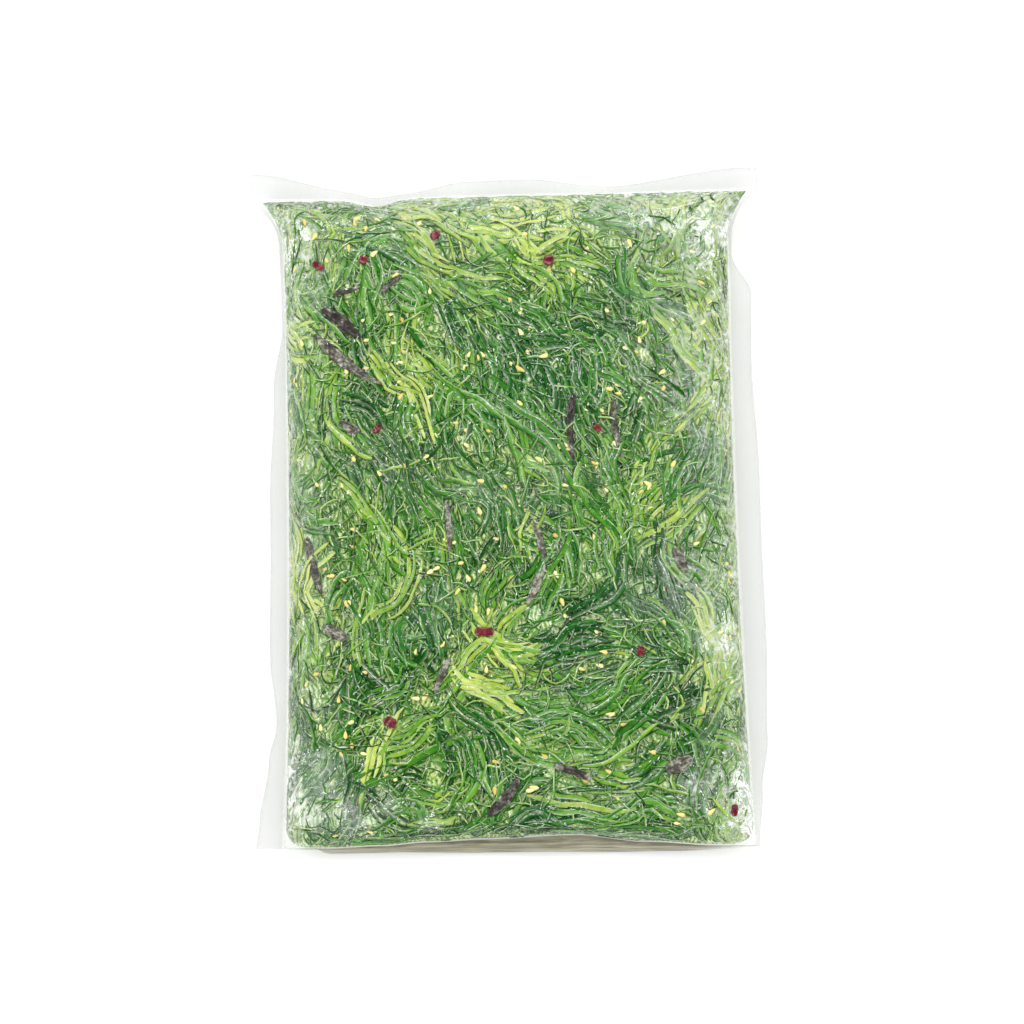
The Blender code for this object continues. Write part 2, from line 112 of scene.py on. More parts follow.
def light_room():
    world = bpy.data.worlds.new("white_room")
    bpy.context.scene.world = world
    world.use_nodes = True
    nodes, links = world.node_tree.nodes, world.node_tree.links
    place, parts = nodes.new("ShaderNodeTexCoord"), nodes.new("ShaderNodeSeparateXYZ")
    fade = nodes.new("ShaderNodeValToRGB")
    while len(fade.color_ramp.elements) < len(ROOM):
        fade.color_ramp.elements.new(0.5)
    for element, (height, light) in zip(fade.color_ramp.elements, ROOM):
        element.position, element.color = height, (light, light, light, 1)
    links.new(place.outputs["Generated"], parts.inputs["Vector"])
    links.new(parts.outputs["Z"], fade.inputs["Fac"])
    links.new(fade.outputs["Color"], nodes["Background"].inputs["Color"])
    bpy.context.scene.view_settings.view_transform = "Standard"
    print("room from", ROOM[0][1], "at the horizon to", ROOM[-1][1], "overhead")


light_room()

# %% The lamps
LAMP_SIZE = 0.60
LAMPS = (  # name, place and power
    ("left_softbox", (-0.85, 0.20, 1.05), 7.5),
    ("right_softbox", (0.85, 0.10, 1.05), 6.5),
    ("head_softbox", (0.05, 1.05, 1.00), 7.5),
    ("foot_softbox", (-0.05, -1.10, 0.80), 5.0),
)

for name, place, power in LAMPS:
    lamp = bpy.data.lights.new(name, "AREA")
    lamp.size, lamp.energy = LAMP_SIZE, power
    holder = bpy.data.objects.new(name, lamp)
    holder.location = place
    holder.rotation_euler = (AIM - Vector(place)).to_track_quat("-Z", "Y").to_euler()
    bpy.context.scene.collection.objects.link(holder)
print("lamps:", ", ".join(row[0] for row in LAMPS))

# %% [markdown]
# ## The form of a full pouch
# Two flat webs are welded at their edges and filled. Each web then has a flat part, a rounded wall
# down to the weld, and the flat weld itself. Everything in the pouch follows that form at some depth
# below the film, so one function gives it. It could be sculpted, but then the strips could not lie
# in it so exactly. `s` runs across and `t` along: 1 is the edge of the flat part, 2 the weld's root
# and 3 the free edge.

# %% Measures of the filled part
FRONT, BACK = 1, -1
HALF_WIDTH, WAIST, WAIST_REACH = 0.0897, 0.0018, 0.120
HEAD_Y, FOOT_Y = 0.1305, -0.1365
SEAM_Z, TOP_Z, CROWN = 0.0095, 0.0225, 0.0012
SIDE_SHOULDER, FOOT_SHOULDER, HEAD_TAPER = 0.0080, 0.0060, 0.0300
FLARE, FLARE_LENGTH, FLARE_POWER = 0.0083, 0.0190, 1.6


def ease(t):
    """0 to 1 with level ends."""
    t = np.clip(t, 0, 1)
    return t * t * (3 - 2 * t)


def form(s, t, side, depth=0.0, lip=0.0):
    """Points of the pouch's surface, depth below the outside of the film, as an array of x, y, z."""
    s, t, depth = (np.asarray(a, float) for a in np.broadcast_arrays(s, t, depth))
    round_s, round_t = (np.pi / 2 * np.clip(np.abs(a) - 1, 0, 1) for a in (s, t))
    across = (HALF_WIDTH - SIDE_SHOULDER) * np.minimum(1, np.abs(s))
    across = across + (SIDE_SHOULDER - depth) * np.sin(round_s)
    low, high = FOOT_Y + FOOT_SHOULDER, HEAD_Y - HEAD_TAPER
    y = low + (high - low) * (np.clip(t, -1, 1) + 1) / 2
    y = y + np.where(t > 1, (HEAD_TAPER - depth) * np.sin(round_t), 0)
    y = y - np.where(t < -1, (FOOT_SHOULDER - depth) * np.sin(round_t), 0)
    flare = FLARE * np.clip((y - HEAD_Y) / FLARE_LENGTH + 1, 0, 1) ** FLARE_POWER
    x = np.sign(s) * across * (1 + (WAIST * (y / WAIST_REACH) ** 2 + flare) / HALF_WIDTH)
    share = np.cos(round_s) * np.cos(round_t)
    height = TOP_Z - SEAM_Z if side == FRONT else SEAM_Z
    z = SEAM_Z + side * (lip + (height - lip - depth) * share)
    if side == FRONT:
        z = z + share * CROWN * (1 - (x / HALF_WIDTH) ** 2) * (1 - (y / HEAD_Y) ** 2)
    return margins(x, y, z, s, t, side, lip)


print("filled part", round(2000 * HALF_WIDTH, 1), "by", round(1000 * (HEAD_Y - FOOT_Y), 1), "mm")

# %% [markdown]
# ## The weld round the edge
# The weld is uneven: it is wider at the corners, it waves a little, it has a notch at the head, and at
# the foot it is folded down, except at an ear on the left and where the fold runs out on the right.
# A path drawn by hand would give an edge too, but stations with a smooth value between them can be
# read off one by one, and each can be mended alone.

# %% Measures of the weld
FOOT_SKEW = 0.0017
NOTCH_X, NOTCH_HALF, NOTCH_DEPTH = -0.0525, 0.0085, 0.0034
FOOT_WAVE = (  # how far the food's end lies back at places across the foot, as (x, distance)
    (-0.092, -0.0020), (-0.075, -0.0020), (-0.055, -0.0012), (-0.035, 0.0003), (-0.014, 0.0014),
    (0.022, 0.0030), (0.050, 0.0000), (0.076, -0.0015), (0.096, -0.0015),
)
LEFT_MARGIN = (  # width of the weld at places along, as (y, width)
    (-0.140, 0.0112), (-0.126, 0.0100), (-0.103, 0.0070), (-0.088, 0.0042), (-0.060, 0.0072),
    (0.005, 0.0072), (0.050, 0.0052), (0.076, 0.0012), (0.120, 0.0012), (0.130, 0.0036), (0.140, 0.0046),
)
RIGHT_MARGIN = (
    (-0.140, 0.0015), (-0.118, 0.0042), (-0.097, 0.0076), (-0.060, 0.0096), (0.017, 0.0100),
    (0.056, 0.0084), (0.086, 0.0090), (0.103, 0.0012), (0.124, 0.0014), (0.130, 0.0038), (0.140, 0.0050),
)
HEAD_MARGIN = (
    (-0.104, 0.0117), (-0.060, 0.0038), (-0.052, 0.0036), (-0.040, 0.0021), (-0.016, 0.0069),
    (0.009, 0.0067), (0.046, 0.0031), (0.096, 0.0100), (0.104, 0.0090),
)
HEAD_REACH = 0.0050
FOOT_LEDGE, FOOT_MARGIN, FOOT_FOLD_TURN = 0.0012, 0.0070, math.radians(78)
EAR_X, EAR_LENGTH, EAR_SHORT, SHORT_FIRST = 0.072, 0.018, 0.85, 3.0
FOLD_END_X, FOLD_END_LENGTH, FOLD_END_SHORT = 0.060, 0.036, 0.75
MARGIN_WAVE, MARGIN_WAVE_LENGTH, WAVE_START, WAVE_CORNER = 0.0009, 0.052, 0.7, 0.010
print("weld at the left, from the foot up, in mm:", *(round(1000 * width, 1) for _, width in LEFT_MARGIN))


# %% A smooth value between stations
def between(stations, place):
    """A smooth value from (place, value) stations."""
    places, widths = np.array(stations).T
    k = np.clip(np.searchsorted(places, place, side="right") - 1, 0, len(places) - 2)
    share = ease((place - places[k]) / (places[k + 1] - places[k]))
    return widths[k] + (widths[k + 1] - widths[k]) * share


print("weld at the head's middle", round(1000 * float(between(HEAD_MARGIN, 0.0)), 1), "mm")


# %% The weld's form
def fold_foot(x, y, z, margin_t, foot, side, lip):
    """Folds the weld at the foot down and back, less at the ear and where the fold runs out."""
    ear = ease((-x - EAR_X) / EAR_LENGTH)
    turn = FOOT_FOLD_TURN * (1 - ear)
    short = EAR_SHORT * np.minimum(1, SHORT_FIRST * ear)
    short = short + FOLD_END_SHORT * ease((x - FOLD_END_X) / FOLD_END_LENGTH)
    hang = FOOT_MARGIN * np.maximum(0, margin_t - 0.5) * 2 * (1 - short)
    half = turn * np.clip(margin_t * 2 - 0.5, 0, 1)
    back = FOOT_LEDGE * np.minimum(1, margin_t * 2) + hang * np.cos(turn) + side * lip * np.sin(half)
    y = y - np.where(foot, back, 0)
    return y, z - np.where(foot, hang * np.sin(turn) + side * lip * (1 - np.cos(half)), 0)


def margins(x, y, z, s, t, side, lip):
    """Carries the form on into the weld, with its waves, ears, notch and folded foot."""
    margin_s, margin_t = np.maximum(0, np.abs(s) - 2), np.maximum(0, np.abs(t) - 2)
    reach = y + np.sign(t) * margin_t * HEAD_REACH
    width = np.where(s > 0, between(RIGHT_MARGIN, reach), between(LEFT_MARGIN, reach))
    along = np.where(np.abs(y) < HEAD_Y - WAVE_CORNER, y, x)
    wave = MARGIN_WAVE * np.sin(along / MARGIN_WAVE_LENGTH * np.pi * 2 + WAVE_START)
    z = z + wave * np.maximum(margin_s, margin_t)
    y = y + np.where(t > 2, margin_t * between(HEAD_MARGIN, x), 0)
    y = y + between(FOOT_WAVE, x) * ease(-t - 1) * (1 - margin_t)
    y, z = fold_foot(x, y, z, margin_t, t < -2, side, lip)
    x = x + np.sign(s) * margin_s * width
    notch = NOTCH_DEPTH * np.exp(-(((x - NOTCH_X) / NOTCH_HALF) ** 2))
    y = y - notch * ease(t - 1) - FOOT_SKEW * x / HALF_WIDTH * ease(-t - 0.5)
    return np.stack([x, y, z], axis=-1)


print("free edge at the right", [round(float(v), 4) for v in form(3.0, 0.0, FRONT)])

# %% [markdown]
# ## From the flat web to the form
# A strip keeps its length when it bends over the edge of the pouch. So strips are drawn on the flat
# web, in metres, and this step lays the flat web over the form. A shrinkwrap modifier could do
# something like it, but it would stretch the strips on the walls. The frozen food also stays back a
# little from the two corners at the foot.

# %% Lay the flat web over the form
CORNER_ROOM = 0.0025
WEB_LIMIT = 1.985


def quarter_ellipse(a, b):
    """Length of a quarter of an ellipse, by Ramanujan's formula."""
    h = ((a - b) / (a + b)) ** 2
    return math.pi / 4 * (a + b) * (1 + 3 * h / (10 + math.sqrt(4 - 3 * h)))


def walls(side):
    """Flat length of the side wall, the foot wall and the head taper."""
    height = TOP_Z - SEAM_Z if side == FRONT else SEAM_Z
    return tuple(quarter_ellipse(a, height) for a in (SIDE_SHOULDER, FOOT_SHOULDER, HEAD_TAPER))


def plate():
    """Half the width, the foot and the head of the flat part."""
    return HALF_WIDTH - SIDE_SHOULDER, FOOT_Y + FOOT_SHOULDER, HEAD_Y - HEAD_TAPER


def corner_room(s, t):
    """How far the frozen food stays back from the two foot corners of the pouch, as a depth."""
    return CORNER_ROOM * ease((np.abs(s) - 0.93) / 1.07) * ease((-t - 0.97) / 1.03)


def on_web(u, v, side, depth):
    """Points u across and v along the flat web, once the web is formed."""
    wall, foot, head = walls(side)
    wide, low, high = plate()
    s = np.where(np.abs(u) <= wide, u / wide, np.sign(u) * (1 + (np.abs(u) - wide) / wall))
    t = np.where(v < low, -1 - (low - v) / foot, 2 * (v - low) / (high - low) - 1)
    t = np.where(v > high, 1 + (v - high) / head, t)
    s, t = np.clip(s, -WEB_LIMIT, WEB_LIMIT), np.clip(t, -WEB_LIMIT, WEB_LIMIT)
    return form(s, t, side, depth + corner_room(s, t))


print("flat walls", [round(w * 1000, 1) for w in walls(FRONT)], "mm")

# %% [markdown]
# ## Meshes from arrays
# There are thousands of strips, so they are made as arrays and handed to Blender in one go, which is
# far quicker than one primitive at a time. `skin` closes rings of points into tubes, and `sheet` joins
# a grid. Both can carry numbers on their points, which a material reads later as attributes.


# %% A piece from arrays
def finish_mesh(name, points, loops, totals, numbers, material):
    """A piece of the object from its points, the corners of its faces and numbers on its points."""
    mesh = bpy.data.meshes.new(name)
    mesh.vertices.add(len(points))
    mesh.vertices.foreach_set("co", np.ascontiguousarray(points, dtype=np.float32).ravel())
    mesh.loops.add(len(loops))
    mesh.loops.foreach_set("vertex_index", loops.astype(np.int32))
    mesh.polygons.add(len(totals))
    mesh.polygons.foreach_set("loop_start", np.concatenate([[0], np.cumsum(totals)[:-1]]).astype(np.int32))
    mesh.update(calc_edges=True)
    mesh.validate()
    for label, values in numbers.items():
        layer = mesh.attributes.new(label, "FLOAT", "POINT")
        layer.data.foreach_set("value", np.ascontiguousarray(values, dtype=np.float32).ravel())
    mesh.shade_smooth()
    mesh.materials.append(material)
    piece = bpy.data.objects.new(name, mesh)
    bpy.context.scene.collection.objects.link(piece)
    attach(piece, "root")
    print(name, len(totals), "faces")
    return piece


# %% Tubes and sheets
def grid_quads(index):
    """The four-cornered faces between the numbered points of a grid."""
    corners = [index[:-1, :-1], index[:-1, 1:], index[1:, 1:], index[1:, :-1]]
    return np.stack(corners, axis=-1).reshape(-1, 4)


def skin(name, rings, material, slot, **numbers):
    """Closed tubes from rings of points: rings has the shape tubes, sections, corners, 3."""
    tubes, sections, corners, _ = rings.shape
    index = np.arange(tubes * sections * corners).reshape(tubes, sections, corners)
    here, there = index[:, :-1], index[:, 1:]
    quads = np.stack([here, np.roll(here, -1, axis=2), np.roll(there, -1, axis=2), there], axis=-1)
    caps = np.concatenate([index[:, 0, ::-1], index[:, -1]])
    loops = np.concatenate([quads.ravel(), caps.ravel()])
    totals = np.concatenate([np.full(quads.size // 4, 4), np.full(2 * tubes, corners)])
    numbers = {label: np.broadcast_to(values, rings.shape[:3]) for label, values in numbers.items()}
    return finish_mesh(name, rings.reshape(-1, 3), loops, totals, numbers, material)


def sheet(name, grid, material, slot, flip=False, **numbers):
    """An open sheet from a grid of points with the shape rows, columns, 3."""
    quads = grid_quads(np.arange(grid.shape[0] * grid.shape[1]).reshape(grid.shape[:2]))
    quads, totals = quads[:, ::-1] if flip else quads, np.full(len(quads), 4)
    return finish_mesh(name, grid.reshape(-1, 3), quads.ravel(), totals, numbers, material)


print("faces of a grid of 3 by 3 points:", len(grid_quads(np.arange(9).reshape(3, 3))))

# %% [markdown]
# ## Smooth noise
# Nothing in food is even: colours drift, the dressing rises and sinks, and the film waves. Blender's
# textures can drift colours, but a mesh made from arrays needs the same kind of noise as numbers. A
# few sine waves with seeded headings, added up, are smooth, quick and the same in each run.

# %% Smooth noise on points
WAVES_IN_RIPPLE, RIPPLE_SCALE = 7, 3.2


def ripple(x, y, length, seed):
    """Smooth seeded noise, about -1 to 1, with bumps of the given length."""
    draw = np.random.default_rng(seed)
    total = 0.0
    for _ in range(WAVES_IN_RIPPLE):
        turn, phase = draw.uniform(0, 2 * np.pi, 2)
        wave = length * draw.uniform(0.55, 1.7)
        total = total + np.sin((x * np.cos(turn) + y * np.sin(turn)) * 2 * np.pi / wave + phase)
    return total / RIPPLE_SCALE


print("ripple at the middle", round(float(ripple(0.0, 0.0, 0.03, 5)), 2))

# %% [markdown]
# ## A bench for finishes
# Each finish is a small node tree that ends in one Principled shader. The nodes could be placed by
# hand in the editor, but then nobody could read why a number is as it is. So a small class holds the
# material and wires its nodes, and a finish can be written down like a recipe.


# %% A material and its wiring
class NodeTree:
    """A material with short ways to add nodes and to wire them."""

    def __init__(self, name):
        self.material = bpy.data.materials.new(name)
        self.material.use_nodes = True
        self.nodes, self.links = self.material.node_tree.nodes, self.material.node_tree.links
        self.shader = self.nodes["Principled BSDF"]

    def wire(self, value, socket):
        """Links a socket to another, or sets it to a plain number or colour."""
        if isinstance(value, bpy.types.NodeSocket):
            self.links.new(value, socket)
        else:
            socket.default_value = (*value, 1) if isinstance(value, tuple) else value

    def give(self, **values):
        """Wires the shader's own sockets, named as in the editor with _ for a space."""
        for key, value in values.items():
            self.wire(value, self.shader.inputs[key.replace("_", " ")])
        return self.material

    def add(self, kind, **values):
        """A node with values on its sockets."""
        node = self.nodes.new(kind)
        for key, value in values.items():
            self.wire(value, node.inputs[key.replace("_", " ")])
        return node

    def number(self, name):
        """A number stored on the mesh's points."""
        reader = self.nodes.new("ShaderNodeAttribute")
        reader.attribute_name = name
        return reader.outputs["Fac"]


print("wiring:", ", ".join(word for word in vars(NodeTree) if word[0] != "_"))

# %% [markdown]
# ## Words for finishes
# Most finishes need the same few steps: multiply two numbers, draw a line through a noise, turn it into
# a colour, and mix two colours. Node groups could hold those steps, but a plain word for each is easier
# to read and to change. `line` is the one to know: it makes `start + slope * a`, and can clamp it.


# %% The bench
class Bench(NodeTree):
    """Where a finish is made: words for sums, noise and colours."""

    def work(self, operation, *values, clamp=False):
        """A math node on sockets or numbers."""
        node = self.nodes.new("ShaderNodeMath")
        node.operation, node.use_clamp = operation, clamp
        for socket, value in zip(node.inputs, values):
            self.wire(value, socket)
        return node.outputs[0]

    def times(self, a, b):
        return self.work("MULTIPLY", a, b)

    def line(self, a, slope, start, clamp=False):
        """start + slope times a."""
        return self.work("MULTIPLY_ADD", a, slope, start, clamp=clamp)

    def most(self, a, b, clamp=False):
        return self.work("MAXIMUM", a, b, clamp=clamp)

    def place(self):
        """Where a point is, in metres."""
        return self.nodes.new("ShaderNodeTexCoord").outputs["Object"]

    def cloud(self, scale, detail=3.0, roughness=0.55, swirl=0.0):
        """Noise in object space, as a number from 0 to 1."""
        noise = self.add("ShaderNodeTexNoise", Vector=self.place(), Scale=scale, Detail=detail)
        self.wire(roughness, noise.inputs["Roughness"])
        self.wire(swirl, noise.inputs["Distortion"])
        return noise.outputs["Fac"]

    def ramp(self, source, stops):
        """A colour ramp on a source, from (place, colour) stops."""
        node = self.add("ShaderNodeValToRGB", Fac=source)
        band = node.color_ramp
        while len(band.elements) < len(stops):
            band.elements.new(0.5)
        for element, (place, colour) in zip(band.elements, stops):
            element.position, element.color = place, (*colour, 1)
        return node.outputs["Color"]

    def blend(self, share, a, b):
        """Mix two colours, each a socket or a plain colour, by a share."""
        node = self.nodes.new("ShaderNodeMix")
        node.data_type = "RGBA"
        for socket, value in ((node.inputs[0], share), (node.inputs[6], a), (node.inputs[7], b)):
            self.wire(value, socket)
        return node.outputs[2]

    def relief(self, height, strength, distance):
        """Fine bumps on the shader."""
        node = self.add("ShaderNodeBump", Height=height, Strength=strength, Distance=distance)
        self.links.new(node.outputs["Normal"], self.shader.inputs["Normal"])


print("bench:", ", ".join(word for word in vars(Bench) if word[0] != "_"))

# %% [markdown]
# ## Wet wakame
# A wet strip runs from a deep green to yellow, with streaks along it. One edge is often pale, partly
# from oil or ice that has caught it and partly as a painted highlight, and the other edge has painted
# shade. Broken white glints along the pale edge are painted highlights too. Each strip carries a tone,
# and a colour ramp turns the tone into a green. A plain colour would be simpler, but a salad of one green
# looks like plastic.

# %% Streaks and ice
STREAKS_ACROSS = 2.6


def leaf_streaks(bench):
    """Noise drawn out along each strip: its rim number runs across it and its run number along it."""
    across = bench.times(bench.number("rim"), STREAKS_ACROSS)
    where = bench.add("ShaderNodeCombineXYZ", X=across, Y=bench.number("run")).outputs["Vector"]
    noise = bench.add("ShaderNodeTexNoise", Vector=where, Scale=1.0, Detail=3.0, Roughness=0.6)
    return bench.line(noise.outputs["Fac"], 1.6, -0.3, clamp=True)


def icy_places(bench):
    """Where the food is more frosted, as a number from 0 to 1."""
    return bench.line(bench.cloud(22, 3.0), 3.0, -1.15, clamp=True)


print("streaks across a strip, about", STREAKS_ACROSS)

# %% The wakame finish
GREENS = (
    (0.00, (0.004, 0.046, 0.003)), (0.22, (0.013, 0.110, 0.006)), (0.45, (0.054, 0.222, 0.010)),
    (0.65, (0.150, 0.350, 0.034)), (0.84, (0.320, 0.462, 0.055)), (1.00, (0.520, 0.615, 0.140)),
)
COOL_GREEN = (0.016, 0.132, 0.028)
# Pale edge colours are partly oil or ice and partly a painted highlight; the shaded edge colour is painted
# shade.
OILY_EDGE_AND_HIGHLIGHT, ICY_EDGE_AND_HIGHLIGHT, SHADED_EDGE = (0.700, 0.790, 0.430), (0.800, 0.870, 0.740), (0.002, 0.022, 0.002)
# GLINT is a painted highlight: broken white glints along a strip's pale edge.
GLINT = (0.900, 0.940, 0.860)


def wakame_finish():
    bench = Bench("wet_wakame")
    streak, rim = leaf_streaks(bench), bench.number("rim")
    uneven = bench.line(streak, 0.50, bench.work("SUBTRACT", bench.number("tone"), 0.25))
    colour = bench.ramp(uneven, GREENS)
    cool = bench.line(bench.cloud(28, 2.0), 2.6, -1.05, clamp=True)
    colour = bench.blend(bench.times(cool, 0.45), colour, COOL_GREEN)
    # The pale edge is partly oil or ice and partly a painted highlight, and the other edge gets painted
    # shade.
    pale = bench.blend(icy_places(bench), OILY_EDGE_AND_HIGHLIGHT, ICY_EDGE_AND_HIGHLIGHT)
    frost = bench.work("POWER", bench.most(rim, 0.0), 1.7)
    shade = bench.work("POWER", bench.most(bench.times(rim, -1.0), 0.0), 1.1)
    colour = bench.blend(bench.times(frost, 0.95), colour, pale)
    colour = bench.blend(bench.times(shade, 0.95), colour, SHADED_EDGE)
    # Painted highlight: broken white glints along the pale edge.
    broken = bench.line(bench.cloud(760, 2.0), 9.0, -4.9, clamp=True)
    glint = bench.times(broken, bench.line(rim, 2.2, -0.3, clamp=True))
    colour = bench.blend(bench.times(glint, 0.85), colour, GLINT)
    bench.relief(streak, 0.40, 0.0002)
    return bench.give(Base_Color=colour, Roughness=bench.line(streak, 0.20, 0.06), Specular_IOR_Level=0.16)


WAKAME = wakame_finish()
print("greens from deep to yellow:", len(GREENS))

# %% [markdown]
# ## How the strips lie
# Shredded wakame lies in sweeps, where handfuls of strips point the same way. The sweeps below are
# given, each with its place and heading, and a strip turns towards the sweeps near it as it grows.
# Physics could drop the strips into a box, but it would never settle into the sweeps of this pouch.

# %% Sweeps of the front, in millimetres and degrees
SWEEPS = (
    (-62, 118, 5), (-10, 118, 8), (38, 116, -22), (74, 116, 48), (-72, 92, 82), (-28, 92, -50),
    (8, 84, -24), (40, 98, -62), (72, 84, -62), (-70, 64, -74), (-34, 62, -74), (20, 66, -36),
    (-4, 46, -80), (52, 44, -55), (82, 40, -88), (-78, 22, -88), (-50, 24, -60), (0, 20, -78),
    (34, 20, -84), (-62, -2, 78), (-36, -6, -62), (14, 0, -28), (62, 2, 42), (-78, -28, -84),
    (-38, -34, -74), (6, -28, 72), (48, -24, 88), (78, -28, -84), (-30, -58, 82), (20, -56, 14),
    (50, -60, -26), (-74, -72, -82), (-4, -76, -36), (20, -76, 35), (76, -76, 74), (-46, -94, 16),
    (-16, -96, -66), (12, -100, -14), (50, -98, 44), (-76, -112, 66), (-4, -118, 52), (30, -118, -30),
    (-50, -130, 18), (40, -131, 2), (84, -116, -84),
)
SWEEP_REACH = 0.015
BACK_DRIFT, FRONT_DRIFT = (1.3, 0.085), (0.45, 0.030)  # radians, and the length of a drift


def sweep_heading(u, v, side):
    """The heading of the sweep at flat points, in radians. A heading and its reverse are the same."""
    if side == BACK:
        return np.pi / 2 + BACK_DRIFT[0] * ripple(u, v, BACK_DRIFT[1], 3)
    x, y, turn = np.array(SWEEPS, float).T
    x, y, turn = x / 1000, y / 1000, 2 * np.radians(turn)
    near = np.exp(-((u[..., None] - x) ** 2 + (v[..., None] - y) ** 2) / (2 * SWEEP_REACH**2)) + 1e-9
    across, along = (near * np.cos(turn)).sum(-1), (near * np.sin(turn)).sum(-1)
    return np.arctan2(along, across) / 2 + FRONT_DRIFT[0] * ripple(u, v, FRONT_DRIFT[1], 5)


print("sweeps:", len(SWEEPS))

# %% Grow a path along the sweeps
LEAN, WANDER, HOOK = 0.36, 0.75, 2.6  # radians a strip leans off its sweep, bends, and bends in a hook
HOOKED, PULL, SHAKE = 0.33, 0.22, 0.15  # share with a hook, pull of the sweep and shake at each step


def grow_paths(u, v, length, steps, side, draw, wild=1.0):
    """Flat paths that start half their length back from (u, v) and follow the sweeps."""
    count = len(u)
    lean = draw.normal(0, LEAN * wild, count)
    curl = draw.normal(0, np.where(draw.random(count) < HOOKED, HOOK, WANDER)) / steps
    ahead = sweep_heading(u, v, side) + lean + np.pi * draw.integers(0, 2, count)
    halves = []
    for sign in (1, -1):
        a, b, heading, found = u.copy(), v.copy(), ahead.copy(), []
        for _ in range(steps // 2):
            pull = (sweep_heading(a, b, side) + lean - heading + np.pi / 2) % np.pi - np.pi / 2
            heading = heading + PULL * pull + sign * curl + draw.normal(0, SHAKE, count)
            a = a + sign * np.cos(heading) * length / steps
            b = b + sign * np.sin(heading) * length / steps
            found.append((a, b))
        halves.append(found)
    points = halves[1][::-1] + [(u, v)] + halves[0]
    return np.array(points).transpose(2, 0, 1)


trial = grow_paths(np.zeros(1), np.zeros(1), np.full(1, 0.030), 10, FRONT, np.random.default_rng(1))
span = float(np.linalg.norm(trial[0, -1] - trial[0, 0]))
print("a strip of 30 mm is", round(1000 * span, 1), "mm from end to end")

# %% [markdown]
# ## Where the loose pieces lie
# Broad leaves, shreds of black wood ear and squares of red chilli lie among the strips. Their solids
# have a place each, and the rows below say the same in millimetres and degrees. They come before the
# strips, because the strips must make room for them. A random scatter would be shorter, but on the
# front these pieces are what the eye finds first, so each is given one by one.

# %% Rows of loose pieces: x, y, heading, length, width and turn
LEAVES = {
    FRONT: (
        (-33, 61, -58, 46, 4.4, 18), (64, 17, 12, 38, 4.2, -42), (46, -18, -88, 34, 4.0, 22),
        (26, -3, -14, 30, 5.0, -20), (4, 76, -24, 40, 4.6, 30), (-30, -100, 24, 44, 4.6, -50),
        (40, -88, -34, 46, 4.8, 24), (-58, -16, 64, 38, 4.2, -36),
    ),
    BACK: (
        (-40, 70, 60, 46, 4.6, 30), (38, 40, -40, 44, 4.4, -34), (-12, -36, 18, 48, 4.8, 40),
        (44, -84, 74, 42, 4.4, -30),
    ),
}
WOOD_EARS = {
    FRONT: (
        (-66, 73, -40, 20, 6.2, 8), (-64, 56, -39, 36, 4.4, 26), (-64, 87, 16, 11, 3.0, 10),
        (-46, 90, 42, 11, 3.0, -14), (-64, 30, -29, 9, 3.6, 12), (-25, -12, -87, 21, 3.2, -12),
        (-79, -27, -76, 24, 4.0, 8), (-70, -54, -31, 10, 5.0, 18), (42, 26, -84, 24, 2.8, 20),
        (24, 27, -92, 28, 3.4, 22), (11, -28, -95, 36, 4.2, -58), (66, -28, -67, 11, 4.0, 10),
        (-5, -121, 49, 19, 4.2, 26), (21, -111, -21, 15, 3.6, -12), (62, -109, 22, 11, 6.0, 16),
        (-29, -72, -113, 15, 3.2, 8),
    ),
    BACK: (
        (-60, 20, 70, 26, 4.4, 34), (30, 82, -20, 20, 4.2, -24), (60, -30, -60, 30, 4.0, 40),
        (-30, -96, 12, 18, 5.0, 20), (4, 6, 110, 14, 3.6, -16),
    ),
}
CHILLIES = {
    FRONT: (
        (-28, 108, 25, 4.0, 3.0, 30), (-57, 100, 70, 3.6, 3.2, 20), (-75, 98, -42, 5.2, 2.6, 20),
        (17, 98, 80, 4.6, 4.0, 30), (-12, -55, -4, 7.6, 3.6, 24), (-49, -90, -28, 5.0, 4.0, 20),
        (49, -64, 60, 3.8, 3.0, 20), (82, -127, 70, 4.6, 3.2, 20), (35, 27, -50, 3.4, 2.6, 20),
        (-53, 29, 40, 4.0, 2.6, 20),
    ),
    BACK: ((-20, 44, 30, 5.0, 3.6, 20), (52, 8, -60, 4.4, 3.4, 26), (-62, -60, 10, 6.0, 3.4, 20)),
}
print("loose pieces:", sum(len(rows) for table in (LEAVES, WOOD_EARS, CHILLIES) for rows in table.values()))

# %% Room for the loose pieces
CHILLI_ROOM, BIG_CHILLI = 3, 0.0019


def curved_paths(rows, steps):
    """Flat paths of loose pieces, each on an arc whose middle is at its place, and their half widths."""
    x, y, heading, length, width, turn = np.array(rows, float).T
    place = np.linspace(-0.5, 0.5, steps)
    ahead = np.radians(heading)[:, None] + np.radians(turn)[:, None] * place
    step = (length / 1000 / (steps - 1))[:, None]
    a = np.cumsum(np.cos(ahead) * step, axis=1)
    b = np.cumsum(np.sin(ahead) * step, axis=1)
    middle = steps // 2
    a = a - a[:, middle : middle + 1] + (x / 1000)[:, None]
    b = b - b[:, middle : middle + 1] + (y / 1000)[:, None]
    return np.stack([a, b], axis=-1), width / 2000


def room_for_loose(u, v, side):
    """How much room a loose piece needs of the strips: 1 at wood ear, up to 3 at chilli, 0 beside them."""
    total = 0.0
    for table, most in ((WOOD_EARS, 1), (CHILLIES, CHILLI_ROOM)):
        paths, half = curved_paths(table[side], 7)
        for path, reach in zip(paths, half):
            need = most * (min(1, reach / BIG_CHILLI) ** 3 if most > 1 else 1)
            for x, y in path:
                total = total + need * np.exp(-((u - x) ** 2 + (v - y) ** 2) / (2 * (0.8 * reach) ** 2))
    return np.minimum(total, CHILLI_ROOM)


print("room at the large chilli", round(float(room_for_loose(-0.012, -0.055, FRONT)), 2))
